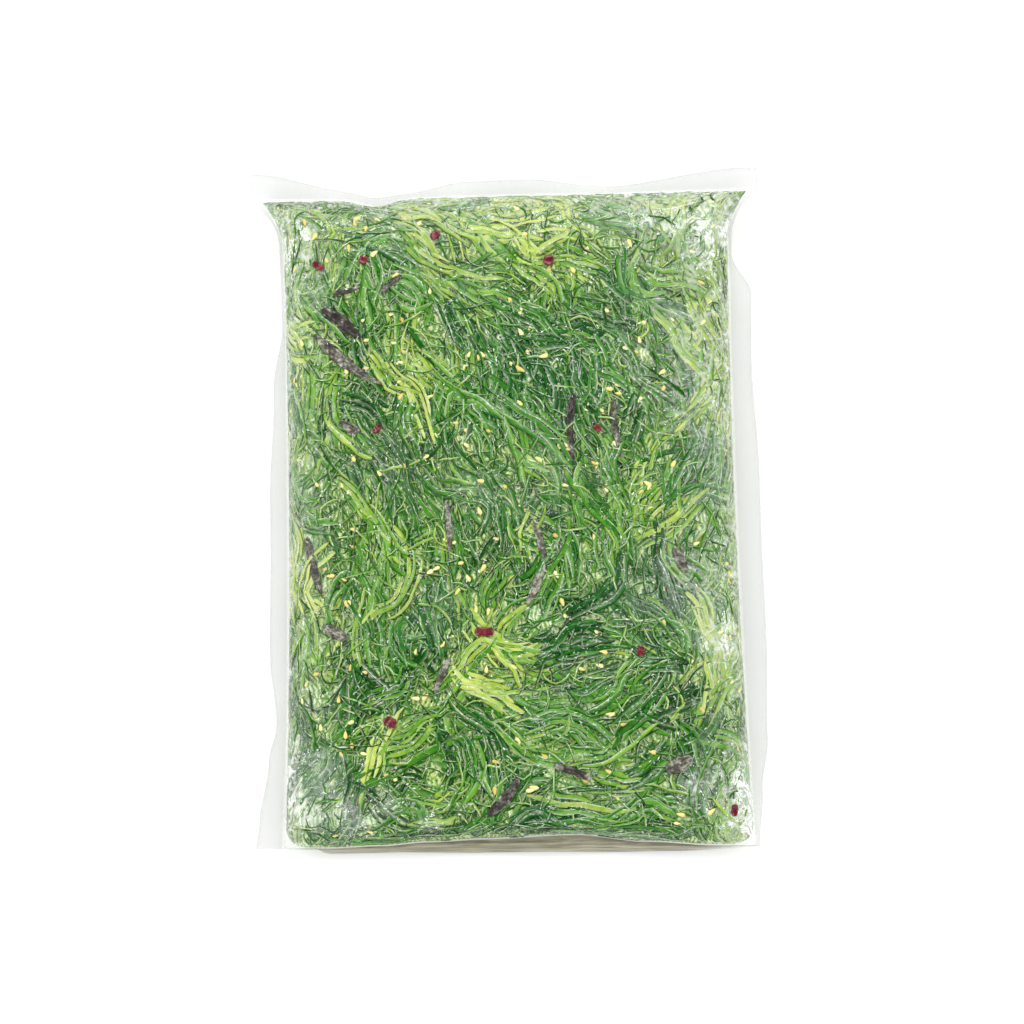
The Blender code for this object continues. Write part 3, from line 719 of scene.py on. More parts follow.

# %% [markdown]
# ## The shape of a strip
# A strip is a flat noodle of leaf, a little thicker along its middle, rolled to one side and then the
# other. It could be a curve with a bevel, but thousands of curves are slow, so it is a row of rings of
# five corners each, which is enough at this size. Each corner has a rim number, from 1 for a pale edge
# with a painted highlight to -1 for an edge with painted shade. There are four kinds: pale left, pale
# right, both edges pale, both dark.

# %% Strip makers
SECTION = np.array([(-1.0, 0.0), (-0.66, 1.0), (0.66, 1.0), (1.0, 0.0), (0.0, -1.0)])
RIMS = np.array([
    (1.0, 0.35, -0.10, -1.0, 0.0), (-1.0, -0.10, 0.35, 1.0, 0.0),
    (0.9, 0.05, 0.0, 0.8, 0.0), (-1.0, -0.05, 0.0, -0.9, 0.0),
])
LEAST_DEPTH = 0.00035
STREAKS_PER_METRE = 190


def normals_of(paths):
    """Unit normals in the flat web, at each point of each path."""
    step = np.gradient(paths, axis=1)
    step = step / np.maximum(np.linalg.norm(step, axis=-1, keepdims=True), 1e-9)
    return np.stack([-step[..., 1], step[..., 0]], axis=-1)


def run_of(rings, seed):
    """How far along its strip each point is, in a few millimetres, after a start of its own."""
    start = np.random.default_rng(seed).uniform(0, 500, rings.shape[0])
    middle = rings.mean(axis=2)
    steps = np.linalg.norm(np.diff(middle, axis=1, prepend=middle[:, :1]), axis=-1)
    return (start[:, None] + np.cumsum(steps, axis=1) * STREAKS_PER_METRE)[..., None]


def strip_rings(paths, half, thick, depth, roll, side, section=SECTION):
    """Rings of points along flat paths. half, depth and roll have one value for each point of a path."""
    wide, tall = section[:, 0], section[:, 1]
    cos, sin = np.cos(roll)[..., None], np.sin(roll)[..., None]
    across = half[..., None] * wide * cos - thick * tall * sin
    rise = half[..., None] * wide * sin + thick * tall * cos
    spots = paths[..., None, :] + across[..., None] * normals_of(paths)[..., None, :]
    return on_web(spots[..., 0], spots[..., 1], side, np.maximum(depth[..., None] - rise, LEAST_DEPTH))


print("corners of a strip's section:", len(SECTION))

# %% [markdown]
# ## Where the strips go
# The strips fill the whole web, right up to the weld. Points drawn at random would leave holes and
# heaps, so they come from a golden ratio in both directions, which spreads them evenly, and are then
# shaken a little. A strip that grows past the weld is turned back, as the weld does to a real one.

# %% Fill the web evenly
GOLDEN_ACROSS, GOLDEN_ALONG = 0.7548776662, 0.5698402910
SHAKE_ACROSS, SHAKE_ALONG = 0.018, 0.012


def reach_of(side):
    """How far out on the flat web the strips lie: half the width, the foot and the head."""
    wall, foot, head = walls(side)
    wide, low, high = plate()
    return wide + wall, low - foot * 0.93, high + head * 0.985


def even_spread(count, side, draw):
    """Flat points spread evenly over one web, in a mixed order, by a two-way golden ratio."""
    wide, low, high = reach_of(side)
    k = draw.permutation(count)
    u, v = (0.5 + k * GOLDEN_ACROSS) % 1, (0.5 + k * GOLDEN_ALONG) % 1
    u, v = u + draw.normal(0, SHAKE_ACROSS, count), v + draw.normal(0, SHAKE_ALONG, count)
    return np.clip(2 * u - 1, -1, 1) * wide, low + np.clip(v, 0, 1) * (high - low)


def keep_inside(paths, side):
    """Turns back what would leave the filled pouch."""
    wide, low, high = reach_of(side)
    u, v = paths[..., 0], paths[..., 1]
    u = np.where(np.abs(u) > wide, np.sign(u) * (2 * wide - np.abs(u)), u)
    v = np.where(v < low, 2 * low - v, v)
    return np.stack([u, np.where(v > high, 2 * high - v, v)], axis=-1)


print("strips reach", [round(1000 * r, 1) for r in reach_of(FRONT)], "mm on the flat web")

# %% [markdown]
# ## Young, old and edge strips
# Some handfuls are of young, yellow leaf and some of old, dark leaf, and near the edge of the pouch the
# food is paler, as more ice has gathered there. A painted picture could say all of that, but soft spots
# and a ripple are easier to change, and they give each strip a tone of its own.

# %% Where the strips are yellower, darker and paler
BASE_TONE, BUNDLE_SPREAD, STRIP_SPREAD = 0.37, 0.11, 0.09
BROAD_TONE, NARROW_TONE = (0.22, 0.060), (0.18, 0.024)  # how far the tone drifts, and over what length
YELLOWER, DARKER, PALER_EDGE = 0.29, 0.24, 0.30
EDGE_START, EDGE_LENGTH, HEAD_EDGE_START, HEAD_EDGE_LENGTH = 0.64, 0.24, 0.038, 0.028
YELLOW_SPOTS = (  # x, y and reach in millimetres
    (-40, 62, 13), (-30, 45, 10), (-48, -18, 12), (-4, -44, 12), (-10, -66, 10), (40, -16, 9), (8, 102, 15),
    (-66, 104, 9), (16, -92, 14), (-42, -112, 12), (-78, -34, 8), (62, -8, 8), (84, 70, 10), (84, 48, 10),
    (86, -66, 10), (-34, 110, 12), (-4, 108, 12), (34, 106, 12), (62, 112, 10),
)
DARK_SPOTS = (
    (-62, 66, 12), (-30, 10, 12), (0, 62, 12), (64, -88, 14), (-40, -82, 12), (0, -112, 12), (24, 40, 12),
    (-76, -110, 12), (-60, -120, 10),
)


def spots(u, v, rows):
    """Sum of soft round spots at flat points."""
    total = 0.0
    for x, y, reach in rows:
        total = total + np.exp(-((u - x / 1000) ** 2 + (v - y / 1000) ** 2) / (2 * (reach / 1000) ** 2))
    return total


def edge_share(u, v, side):
    """1 near the edges of the filled pouch, where the food is paler, and 0 inside."""
    wide, _, high = reach_of(side)
    sides = ease((np.abs(u) - EDGE_START * wide) / (EDGE_LENGTH * wide))
    return np.maximum(sides, ease((v - high + HEAD_EDGE_START) / HEAD_EDGE_LENGTH))


def strip_tone(u, v, side, draw):
    """How yellow a bundle of strips is at flat points, from 0 for deep green."""
    tone = BASE_TONE + draw.normal(0, BUNDLE_SPREAD, len(u))
    for (drift, length), seed in ((BROAD_TONE, 21), (NARROW_TONE, 31)):
        tone = tone + drift * ripple(u, v, length, seed + side)
    if side == FRONT:
        tone = tone + YELLOWER * spots(u, v, YELLOW_SPOTS) - DARKER * spots(u, v, DARK_SPOTS)
    return tone


print("yellow and dark spots:", len(YELLOW_SPOTS), len(DARK_SPOTS))

# %% [markdown]
# ## Strips in bundles
# Where a knife has cut a leaf, the strips stay side by side, so the strips are laid in bundles of four
# along one spine. Some bundles lie high under the film and some lower, and the upper ones cross the
# lower ones, as in the pressed salad. Single strips, each with a heading of its own, looked like hay.

# %% Strips along a spine
BUNDLES = {FRONT: 820, BACK: 380}
MEMBERS = 4
STRIP_STEPS = {FRONT: 11, BACK: 8}
BUNDLE_LENGTH, BUNDLE_STEPS = (0.022, 0.050), 20
STRIP_SHARE = (0.20, 0.46)  # half the length of a strip, as a share of its bundle
STRIP_SPACING, STRIP_HALF, STRIP_THICK = 0.0019, (0.00055, 0.00125), 0.00030
WEAVE, STRAY = 0.0005, 0.0004  # how far a strip weaves and strays from its place in the bundle


def bundle_members(spine, side, draw):
    """Paths of the strips of all bundles: each follows a part of its bundle's spine, to one side of it."""
    owner = np.repeat(np.arange(len(spine)), MEMBERS)
    count = len(owner)
    rank = np.tile(np.arange(MEMBERS) - (MEMBERS - 1) / 2, len(spine))
    place = np.linspace(-1, 1, STRIP_STEPS[side])
    span = draw.uniform(*STRIP_SHARE, count) * BUNDLE_STEPS
    middle = BUNDLE_STEPS / 2 + draw.uniform(-1, 1, count) * (BUNDLE_STEPS / 2 - span)
    station = np.clip(middle[:, None] + span[:, None] * place, 0, BUNDLE_STEPS - 0.001)
    k, part = station.astype(int), (station % 1)[..., None]
    row = owner[:, None]
    normal = normals_of(spine)
    base = spine[row, k] * (1 - part) + spine[row, k + 1] * part
    aside = normal[row, k] * (1 - part) + normal[row, k + 1] * part
    weave = draw.uniform(0, 2 * np.pi, (count, 1))
    offset = (rank * STRIP_SPACING)[:, None] + WEAVE * np.sin(place * 2.5 + weave)
    offset = offset + draw.normal(0, STRAY, (count, 1))
    return owner, place, base + aside * offset[..., None]


print("strips to lay:", MEMBERS * sum(BUNDLES.values()))

# %% How deep the strips lie
UPPERMOST, LOWEST, MAKE_ROOM = 0.00075, 0.00240, 0.00035
ROUGH_LAYER, DIP, WALL_THIN = 0.10, 0.00028, 0.5


def strip_depth(paths, layer, sway, place, side):
    """How deep below the film each point of each strip lies: less up the wall, more at a loose piece."""
    depth = LOWEST + (UPPERMOST - LOWEST) * np.clip(layer, 0, 1)[:, None]
    depth = depth + DIP * np.sin(place * 4 + sway)
    depth = depth + MAKE_ROOM * room_for_loose(paths[..., 0], paths[..., 1], side)
    return depth * (1 - WALL_THIN * ease((np.abs(paths[..., 0]) - plate()[0]) / walls(side)[0]))


print("strips lie", 1000 * UPPERMOST, "to", 1000 * LOWEST, "mm below the film")

# %% Lay one side's strips
KINDS = (0.30, 0.30, 0.18, 0.22)  # how common each kind of strip is, in the order of RIMS
STRIP_ROLL, SHALLOW_STRIP, DEEPEST_TONE, PALEST_TONE = 0.32, 0.0006, 0.02, 0.98


def lay_strips(side, seed):
    """Paths, depths, half widths, rings, tones and rims of all strips of one side."""
    draw = np.random.default_rng(seed)
    bundles = BUNDLES[side]
    u, v = even_spread(bundles, side, draw)
    spine = grow_paths(u, v, draw.uniform(*BUNDLE_LENGTH, bundles), BUNDLE_STEPS, side, draw)
    owner, place, paths = bundle_members(spine, side, draw)
    count, paths = len(owner), keep_inside(paths, side)
    layer = draw.uniform(0, 1, bundles)[owner] + draw.normal(0, ROUGH_LAYER, count)
    sway = draw.uniform(0, 2 * np.pi, (count, 1))
    depth = strip_depth(paths, layer, sway, place, side)
    taper = (1 - 0.5 * np.abs(place) ** 8) * (1 + 0.15 * np.sin(place * 7 + 2 * sway))
    half = draw.uniform(*STRIP_HALF, (count, 1)) * taper
    roll = STRIP_ROLL * np.sin(place * draw.uniform(1, 4, (count, 1)) + sway)
    rings = strip_rings(paths, half, STRIP_THICK, np.maximum(depth, SHALLOW_STRIP), roll, side)
    tone = strip_tone(u, v, side, draw)
    tone = tone[owner] + draw.normal(0, STRIP_SPREAD, count) + PALER_EDGE * edge_share(u, v, side)[owner]
    rims = RIMS[draw.choice(len(RIMS), count, p=KINDS)]
    return paths, depth, half, rings, np.clip(tone, DEEPEST_TONE, PALEST_TONE), rims


print("kinds of strip:", len(RIMS), "and their shares:", *KINDS)

# %% Make the strips into pieces
def strip_pieces(side, label, parts, seed):
    """Lays one side's strips and makes them into pieces by their tone."""
    paths, depth, half, rings, tone, rims = lay_strips(side, seed)
    edges = np.quantile(tone, np.linspace(0, 1, len(parts) + 1))
    for name, low, high in zip(parts, edges[:-1], edges[1:]):
        chosen = (tone >= low) & ((tone < high) | (high == edges[-1]))
        mine = rings[chosen]
        skin(f"wakame_strips_{label}_{name}", mine, WAKAME, "wakame_green",
             tone=tone[chosen][:, None, None], rim=rims[chosen][:, None, :], run=run_of(mine, seed))
    print(label, "strips:", len(tone))
    return paths, depth, half


front_strips = strip_pieces(FRONT, "front", ("deep", "leaf", "pale", "yellow"), 41)
back_strips = strip_pieces(BACK, "back", ("deep", "pale"), 42)

# %% [markdown]
# ## Fine curls
# Thin curls of leaf lie over the strips, just under the film, and give the salad its fine lines. They
# could be curves with a bevel, but the strip makers above do the same with a section of four corners.
# A third of them are pale and the others dark, because a curl only shows against its neighbours.

# %% Lay the curls
CURL_COUNT, CURL_STEPS, CURL_WILD = 3400, 6, 2.2
CURL_SECTION = np.array([(-1.0, 0.0), (0.0, 1.0), (1.0, 0.0), (0.0, -1.0)])
# A painted highlight on one edge of a curl and painted shade on the other.
CURL_RIMS = np.array([1.0, 0.1, -0.4, 0.0])
CURL_LENGTH, CURL_HALF, CURL_THICK = (0.007, 0.020), (0.00028, 0.00060), 0.00022
CURL_DEPTH, CURL_DIP, CURL_ROLL = (0.00062, 0.0016), 0.00020, 0.5
PALE_SHARE, PALE_TONES, DARK_TONES = 0.34, (0.52, 0.82), (0.05, 0.50)


def lay_curls(side, seed):
    """Rings and tones of short thin curls of leaf."""
    draw = np.random.default_rng(seed)
    u, v = even_spread(CURL_COUNT, side, draw)
    path = grow_paths(u, v, draw.uniform(*CURL_LENGTH, CURL_COUNT), CURL_STEPS, side, draw, CURL_WILD)
    path = keep_inside(path, side)
    place = np.linspace(-1, 1, path.shape[1])
    sway = draw.uniform(0, 2 * np.pi, (CURL_COUNT, 1))
    depth = draw.uniform(*CURL_DEPTH, (CURL_COUNT, 1)) + CURL_DIP * np.sin(place * 4 + sway)
    depth = depth + MAKE_ROOM * room_for_loose(path[..., 0], path[..., 1], side)
    half = draw.uniform(*CURL_HALF, (CURL_COUNT, 1)) * (1 - 0.5 * np.abs(place) ** 6)
    roll = CURL_ROLL * np.sin(place * 3 + sway)
    rings = strip_rings(path, half, CURL_THICK, depth, roll, side, CURL_SECTION)
    is_pale = draw.random(CURL_COUNT) < PALE_SHARE
    pale, dark = draw.uniform(*PALE_TONES, CURL_COUNT), draw.uniform(*DARK_TONES, CURL_COUNT)
    return rings, np.where(is_pale, pale, dark)


def curl_pieces(side, label, seed):
    rings, tone = lay_curls(side, seed)
    for name, chosen, strength in (("pale", tone > 0.5, 1.0), ("dark", tone <= 0.5, 0.7)):
        mine = rings[chosen]
        skin(f"wakame_curls_{label}_{name}", mine, WAKAME, "wakame_green",
             tone=tone[chosen][:, None, None], rim=strength * CURL_RIMS, run=run_of(mine, seed))
    print(label, "curls:", len(tone))


curl_pieces(FRONT, "front", 51)

# %% [markdown]
# ## The frozen dressing
# Between the strips the oil and sesame dressing has frozen to a pale block, which nearly reaches the
# film in some places. A copy of the film, pushed inwards, could do it, but a closed pillow from the same
# form lies at a depth that we can set anywhere, and that depth alone decides how many strips show. It
# also holds shreds too small to model, and a wave texture with much distortion stands for those.

# %% The dressing's finish
DRESSING_TONES = (
    (0.15, (0.014, 0.095, 0.008)), (0.36, (0.100, 0.250, 0.022)), (0.54, (0.290, 0.430, 0.065)),
    (0.76, (0.590, 0.680, 0.290)), (0.96, (0.860, 0.900, 0.700)),
)
ICY_TONES = ((0.15, (0.110, 0.270, 0.070)), (0.48, (0.450, 0.590, 0.320)), (0.78, (0.800, 0.860, 0.740)))


def dressing_finish():
    bench = Bench("frozen_dressing")
    broad, fine = bench.cloud(90, 4.0), bench.cloud(430, 6.0, 0.62, 2.2)
    shreds = bench.add("ShaderNodeTexWave", Vector=bench.place(), Scale=150, Distortion=17.0, Detail=3.0)
    bench.wire(0.7, shreds.inputs["Detail Scale"])
    share = bench.line(broad, 0.7, bench.times(shreds.outputs["Fac"], 0.40))
    share = bench.line(fine, 1.5, bench.work("SUBTRACT", share, 0.80), clamp=True)
    icy = bench.most(bench.times(icy_places(bench), 0.6), bench.number("icy"))
    oily, frozen = bench.ramp(share, DRESSING_TONES), bench.ramp(share, ICY_TONES)
    colour = bench.blend(bench.times(icy, 0.75), oily, frozen)
    bench.relief(fine, 0.5, 0.0004)
    return bench.give(Base_Color=colour, Roughness=bench.line(fine, 0.3, 0.22))


DRESSING = dressing_finish()
print("dressing nodes:", len(DRESSING.node_tree.nodes))

# %% How deep the dressing lies
BLOCK_DEPTH, RIM_DEPTH, SHALLOWEST = 0.00190, 0.00045, 0.00040
LUMP, LUMP_LENGTHS, EDGE_RISE, SPOT_RISE = 0.00024, (0.0042, 0.016), 0.00035, 0.0006
PALE_SPOTS = (  # where the dressing reaches the film, as x, y and reach in millimetres
    (-86, -118, 7), (-70, -124, 6), (-54, -129, 6), (-44, -124, 5), (82, -62, 8), (76, -54, 7),
    (88, -72, 6), (80, 116, 7), (84, 104, 6), (-92, -96, 6), (-90, 108, 6), (-20, 124, 7), (30, 124, 6),
    (8, -48, 4), (68, -118, 4), (90, -124, 8), (-90, -132, 8),
)


def block_depth(u, v, side):
    """Depth of the dressing below the film at flat points."""
    small, large = LUMP_LENGTHS
    uneven = LUMP * ripple(u, v, small, 61 + side) + LUMP * ripple(u, v, large, 63 + side)
    uneven = uneven - EDGE_RISE * edge_share(u, v, side)
    pale = spots(u, v, PALE_SPOTS) if side == FRONT else 0.0
    return np.maximum(BLOCK_DEPTH + uneven - SPOT_RISE * np.minimum(pale, 1), SHALLOWEST)


def flat_place(s, t, side):
    """Flat coordinates u, v of stations s, t."""
    wall, foot, head = walls(side)
    wide, low, high = plate()
    past_s, past_t = np.clip(np.abs(s) - 1, 0, 1), np.clip(np.abs(t) - 1, 0, 1)
    v = low + (high - low) * (np.clip(t, -1, 1) + 1) / 2
    return np.clip(s, -1, 1) * wide + np.sign(s) * past_s * wall, v + np.where(t > 0, head, -foot) * past_t


print("dressing lies", 1000 * BLOCK_DEPTH, "mm below the film, give or take")

# %% Make the frozen block
BLOCK_COLUMNS, BLOCK_ROWS = (8, 90, 8), (8, 130, 20)


def stations(steps):
    """Stations from -2 to 2, with steps for the first wall, the plate and the last wall."""
    first, middle, last = steps
    parts = [np.linspace(-2, -1, first + 1), np.linspace(-1, 1, middle + 1)[1:]]
    return np.concatenate([*parts, np.linspace(1, 2, last + 1)[1:]])


def block_layer(s, t, side):
    """Points of one side of the block, which thins out to its rim."""
    rim = np.minimum(1, 4 * np.minimum(2 - np.abs(s), 2 - np.abs(t)))
    depth = block_depth(*flat_place(s, t, side), side) * rim + RIM_DEPTH * (1 - rim)
    return form(s, t, side, depth + corner_room(s, t)).reshape(-1, 3)


def frozen_block():
    """The pillow of dressing, with a number on its points for how icy it is."""
    s, t = np.meshgrid(stations(BLOCK_COLUMNS), stations(BLOCK_ROWS))
    front = np.arange(s.size).reshape(s.shape)
    edge = np.ones_like(front, bool)
    edge[1:-1, 1:-1] = False
    back = np.where(edge, front, front + s.size)
    kept = np.concatenate([np.ones(s.size, bool), ~edge.ravel()])
    renumber = np.cumsum(kept) - 1
    points = np.concatenate([block_layer(s, t, side) for side in (FRONT, BACK)])[kept]
    quads = renumber[np.concatenate([grid_quads(front), grid_quads(back)[:, ::-1]])]
    u, v = flat_place(s, t, FRONT)
    icy = np.clip(spots(u, v, PALE_SPOTS) + 0.8 * edge_share(u, v, FRONT), 0, 1).ravel()
    numbers, totals = {"icy": np.concatenate([icy, 0 * icy])[kept]}, np.full(len(quads), 4)
    block = finish_mesh("frozen_dressing", points, quads.ravel(), totals, numbers, DRESSING)
    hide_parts("wakame_cake")


frozen_block()

# %% [markdown]
# ## Sesame seeds and frost
# Roasted sesame seeds are scattered all through, and those that touch the film show as small yellow
# drops. Grains of ice lie with them, and more of them where frost has gathered. Geometry nodes could
# scatter one sculpted seed, but each seed has to follow the bent form, so it is a ring of points swept
# along its length, thin at one tip, and turned and scaled by a seeded draw.

# %% Seed-shaped drops
def drops(u, v, heading, length, width, thick, depth, side, sections=6, corners=7, tip=0.55):
    """Rings of seed-shaped drops lying flat at the given flat points."""
    along = np.linspace(-0.97, 0.97, sections)
    girth = np.sqrt(1 - along**2) * (1 - tip * 0.5 * (along + 1) * (along > -0.2))
    turn = np.linspace(0, 2 * np.pi, corners, endpoint=False)
    a = (length / 2)[:, None, None] * along[:, None] + 0 * turn
    b = (width / 2)[:, None, None] * girth[:, None] * np.cos(turn)
    c = (thick / 2)[:, None, None] * girth[:, None] * np.sin(turn)
    cos, sin = np.cos(heading)[:, None, None], np.sin(heading)[:, None, None]
    below = np.maximum(depth[:, None, None] - c, 0.0002)
    return on_web(u[:, None, None] + a * cos - b * sin, v[:, None, None] + a * sin + b * cos, side, below)


def spread(count, side, draw):
    """Flat points all over one web."""
    wall, foot, head = walls(side)
    wide, low, high = plate()
    u = draw.uniform(-1, 1, count) * (wide + wall * 0.8)
    return u, draw.uniform(low - foot * 0.7, high + head * 0.9, count)


print("drops lie within", round(1000 * (plate()[0] + walls(FRONT)[0] * 0.8), 1), "mm of the middle line")

# %% Finishes of seed and frost
SEED_TONES = (
    (0.0, (0.560, 0.270, 0.050)), (0.28, (0.640, 0.480, 0.110)),
    (0.62, (0.760, 0.670, 0.210)), (1.0, (0.850, 0.820, 0.420)),
)
FROST_TONES = ((0.3, (0.72, 0.80, 0.70)), (0.7, (0.93, 0.95, 0.92)))


def seed_finish():
    bench = Bench("sesame_seed")
    grain = bench.cloud(1600, 3.0)
    shade = bench.line(grain, 0.35, bench.work("SUBTRACT", bench.number("tone"), 0.17), clamp=True)
    bench.relief(grain, 0.3, 0.0001)
    return bench.give(Base_Color=bench.ramp(shade, SEED_TONES), Roughness=bench.line(grain, 0.2, 0.30))


def frost_finish():
    bench = Bench("frost_grain")
    grain = bench.cloud(2200, 2.0)
    bench.relief(grain, 0.6, 0.0002)
    return bench.give(Base_Color=bench.ramp(grain, FROST_TONES), Roughness=0.25)


SEED, FROST = seed_finish(), frost_finish()
print("seed tones:", len(SEED_TONES))

# %% Scatter the seeds
SEED_COUNT = {FRONT: 260, BACK: 130}
SEED_LENGTH, SEED_WIDTH, SEED_THICK = 0.0034, 0.0022, 0.0011
SEED_DEPTH, SEED_SINK = 0.00082, 0.00028


def scatter_seeds(side, label, draw):
    count = SEED_COUNT[side]
    u, v = spread(count, side, draw)
    size, turn = draw.uniform(0.82, 1.12, count), draw.uniform(0, 2 * np.pi, count)
    sink = np.abs(draw.normal(0, SEED_SINK, count))
    depth = SEED_DEPTH + sink + MAKE_ROOM * room_for_loose(u, v, side)
    rings = drops(u, v, turn, SEED_LENGTH * size, SEED_WIDTH * size, SEED_THICK * size, depth, side)
    skin(f"sesame_seeds_{label}", rings, SEED, "wakame_green", tone=draw.beta(4, 2.2, count)[:, None, None])


print("seeds:", sum(SEED_COUNT.values()))

# %% Scatter the frost
FROST_COUNT = {FRONT: 1300, BACK: 200}
FROST_SIZE, FROST_DEPTH, GATHERED = 0.0016, 0.00055, 0.30
FROST_SPOTS = (  # where frost has gathered under the film, as x, y and reach in millimetres
    (-84, -124, 6), (-62, -131, 4), (84, 106, 7), (76, 98, 5), (92, -120, 8), (90, -128, 8), (82, -60, 6),
    (-88, 108, 7), (68, -118, 5), (-88, -104, 5), (-70, -124, 5), (-33, -131, 3), (-74, -108, 4),
    (-52, -122, 3), (97, -118, 9), (97, -130, 10), (-97, -118, 6), (-96, -134, 6),
)


def scatter_frost(side, label, draw):
    count = FROST_COUNT[side]
    u, v = spread(count, side, draw)
    if side == FRONT:
        x, y, reach = np.array(FROST_SPOTS)[draw.integers(0, len(FROST_SPOTS), count)].T / 1000
        near = draw.random(count) < GATHERED
        u, v = np.where(near, x + draw.normal(0, reach), u), np.where(near, y + draw.normal(0, reach), v)
    size = draw.uniform(0.35, 1.0, count) ** 1.6 * FROST_SIZE
    turn = sweep_heading(u, v, side) + draw.normal(0, 0.6, count)
    width = size * draw.uniform(0.25, 0.6, count)
    rings = drops(u, v, turn, size, width, size * 0.3, np.full(count, FROST_DEPTH), side, 3, 5, 0.2)
    skin(f"frost_grains_{label}", rings, FROST, "wakame_green")


print("grains of frost:", sum(FROST_COUNT.values()))
for side, label, seed in ((FRONT, "front", 71), (BACK, "back", 72)):
    draw = np.random.default_rng(seed)
    scatter_seeds(side, label, draw)
    scatter_frost(side, label, draw)

# %% [markdown]
# ## Wood ear, broad leaves and chilli
# Some larger things show through the film: shreds of black wood ear fungus with curled rims, broad
# leaves of wakame, and small squares of red chilli skin. Each lies where its solid lies, along a
# curved line. The rim of a shred is thicker than its middle, and its width is uneven, so it looks
# torn and not cut. A lattice or a sculpt would bend one shred well, but here one function bends all.

# %% Torn shreds
SHRED = np.array([
    (-1.0, 0.2), (-0.82, 1.0), (-0.35, 0.55), (0.35, 0.5), (0.80, 1.1), (1.0, 0.1),
    (0.5, -0.9), (-0.5, -0.9),
])


def loose(rows, side, seed, depth, thick, steps, ragged, blunt):
    """Rings of shreds along the rows' paths. ragged says how torn they are, blunt how square the ends."""
    draw = np.random.default_rng(seed)
    paths, half = curved_paths(rows, steps)
    place = np.linspace(-1, 1, steps)
    lean = 1 - draw.uniform(0, 1.5 * ragged, (len(rows), 1)) * (place + 1) / 2
    taper = (1 - np.abs(place) ** blunt * 0.75) * lean
    along = place * 0.9 + 7 * np.arange(len(rows))[:, None]
    torn = 0.7 * ripple(along, 0 * along, 0.9, seed) + 0.3 * ripple(along, 0 * along, 0.3, seed + 1)
    half = half[:, None] * taper * (1 + ragged * torn)
    sway = draw.uniform(0, 2 * np.pi, (len(rows), 1))
    depths = depth + 0.00022 * np.sin(place * 5 + sway)
    return strip_rings(paths, half, thick, depths, 0.12 * np.sin(place * 3 + sway), side, SHRED)


print("corners of a shred's section:", len(SHRED))

# %% [markdown]
# ## Finishes of wood ear and chilli
# Wood ear is a thin fungus, nearly black, with grey flecks, partly frost and partly painted highlights,
# and paler backs here and there. How bleached each shred is comes from a row of numbers. Chilli skin is
# a deep red with darker and lighter spots.
# Painted textures would need a picture for each, so noise gives the spots, and the same noise gives the
# relief and the uneven shine of a wet skin.

# %% The two finishes
# The palest tone of the dark wood ear is partly grey frost and partly painted highlights.
DARK_EAR = (
    (0.25, (0.004, 0.003, 0.003)), (0.55, (0.018, 0.013, 0.014)), (0.74, (0.090, 0.072, 0.066)),
    (0.86, (0.480, 0.480, 0.430)),
)
PALE_EAR = ((0.20, (0.025, 0.024, 0.018)), (0.50, (0.125, 0.115, 0.088)), (0.72, (0.400, 0.420, 0.340)))
CHILLI_REDS = ((0.25, (0.050, 0.005, 0.008)), (0.60, (0.150, 0.012, 0.020)), (0.90, (0.330, 0.060, 0.055)))


def wood_ear_finish():
    bench = Bench("wood_ear")
    broad, fine = bench.cloud(230, 4.0), bench.cloud(900, 4.0, 0.6)
    share = bench.line(broad, 1.2, bench.line(fine, 1.0, -0.78))
    share = bench.line(leaf_streaks(bench), 0.45, share, clamp=True)
    colour = bench.blend(bench.number("bleach"), bench.ramp(share, DARK_EAR), bench.ramp(share, PALE_EAR))
    bench.relief(fine, 0.3, 0.0002)
    return bench.give(Base_Color=colour, Roughness=bench.line(fine, 0.35, 0.25), Specular_IOR_Level=0.25)


def chilli_finish():
    bench = Bench("red_chilli")
    broad, fine = bench.cloud(300, 3.0), bench.cloud(1800, 3.0)
    share = bench.line(fine, 0.3, bench.work("SUBTRACT", broad, 0.1))
    bench.relief(fine, 0.3, 0.0002)
    return bench.give(Base_Color=bench.ramp(share, CHILLI_REDS), Roughness=bench.line(fine, 0.2, 0.15))


WOOD_EAR, CHILLI = wood_ear_finish(), chilli_finish()
print("tones of wood ear and chilli:", len(DARK_EAR) + len(PALE_EAR), len(CHILLI_REDS))

# %% [markdown]
# ## One piece for each kind
# In the packed model each leaf, shred and square is a solid of its own, but they never move alone. So
# all leaves of one side are one piece here, and the solids that it stands for are hidden. A piece for
# each would also do, but a scene with fewer, larger pieces is quicker to load and to pick from.

# %% Make the loose pieces
LEAF_SHARE = 0.72  # how much of a leaf's width shows between the strips
LEAF_CUT = {"depth": 0.00125, "thick": 0.00024, "steps": 26, "ragged": 0.22, "blunt": 3}
EAR_CUT = {"depth": 0.00078, "thick": 0.00030, "steps": 34, "ragged": 0.30, "blunt": 5}
CHILLI_CUT = {"depth": 0.00068, "thick": 0.00030, "steps": 9, "ragged": 0.06, "blunt": 12}
BLEACH = np.array((0.15, 0.45, 0.3, 0.5, 0.7, 0.8, 0.5, 0.9, 0.5, 0.2, 1.0, 0.6, 0.3, 0.4, 0.7, 0.7))
LEAF_TONES = (0.20, 0.52)
taken = {"wakame_ribbon": 0, "wood_ear_strip": 0, "chilli_bit": 0}


def stand_for(piece, stem, count):
    """Hides the next solids with this name, such as chilli_bit_01. The piece is not used."""
    first = taken[stem] + 1
    taken[stem] += count
    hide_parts(*(f"{stem}_{k:02d}" for k in range(first, first + count)))


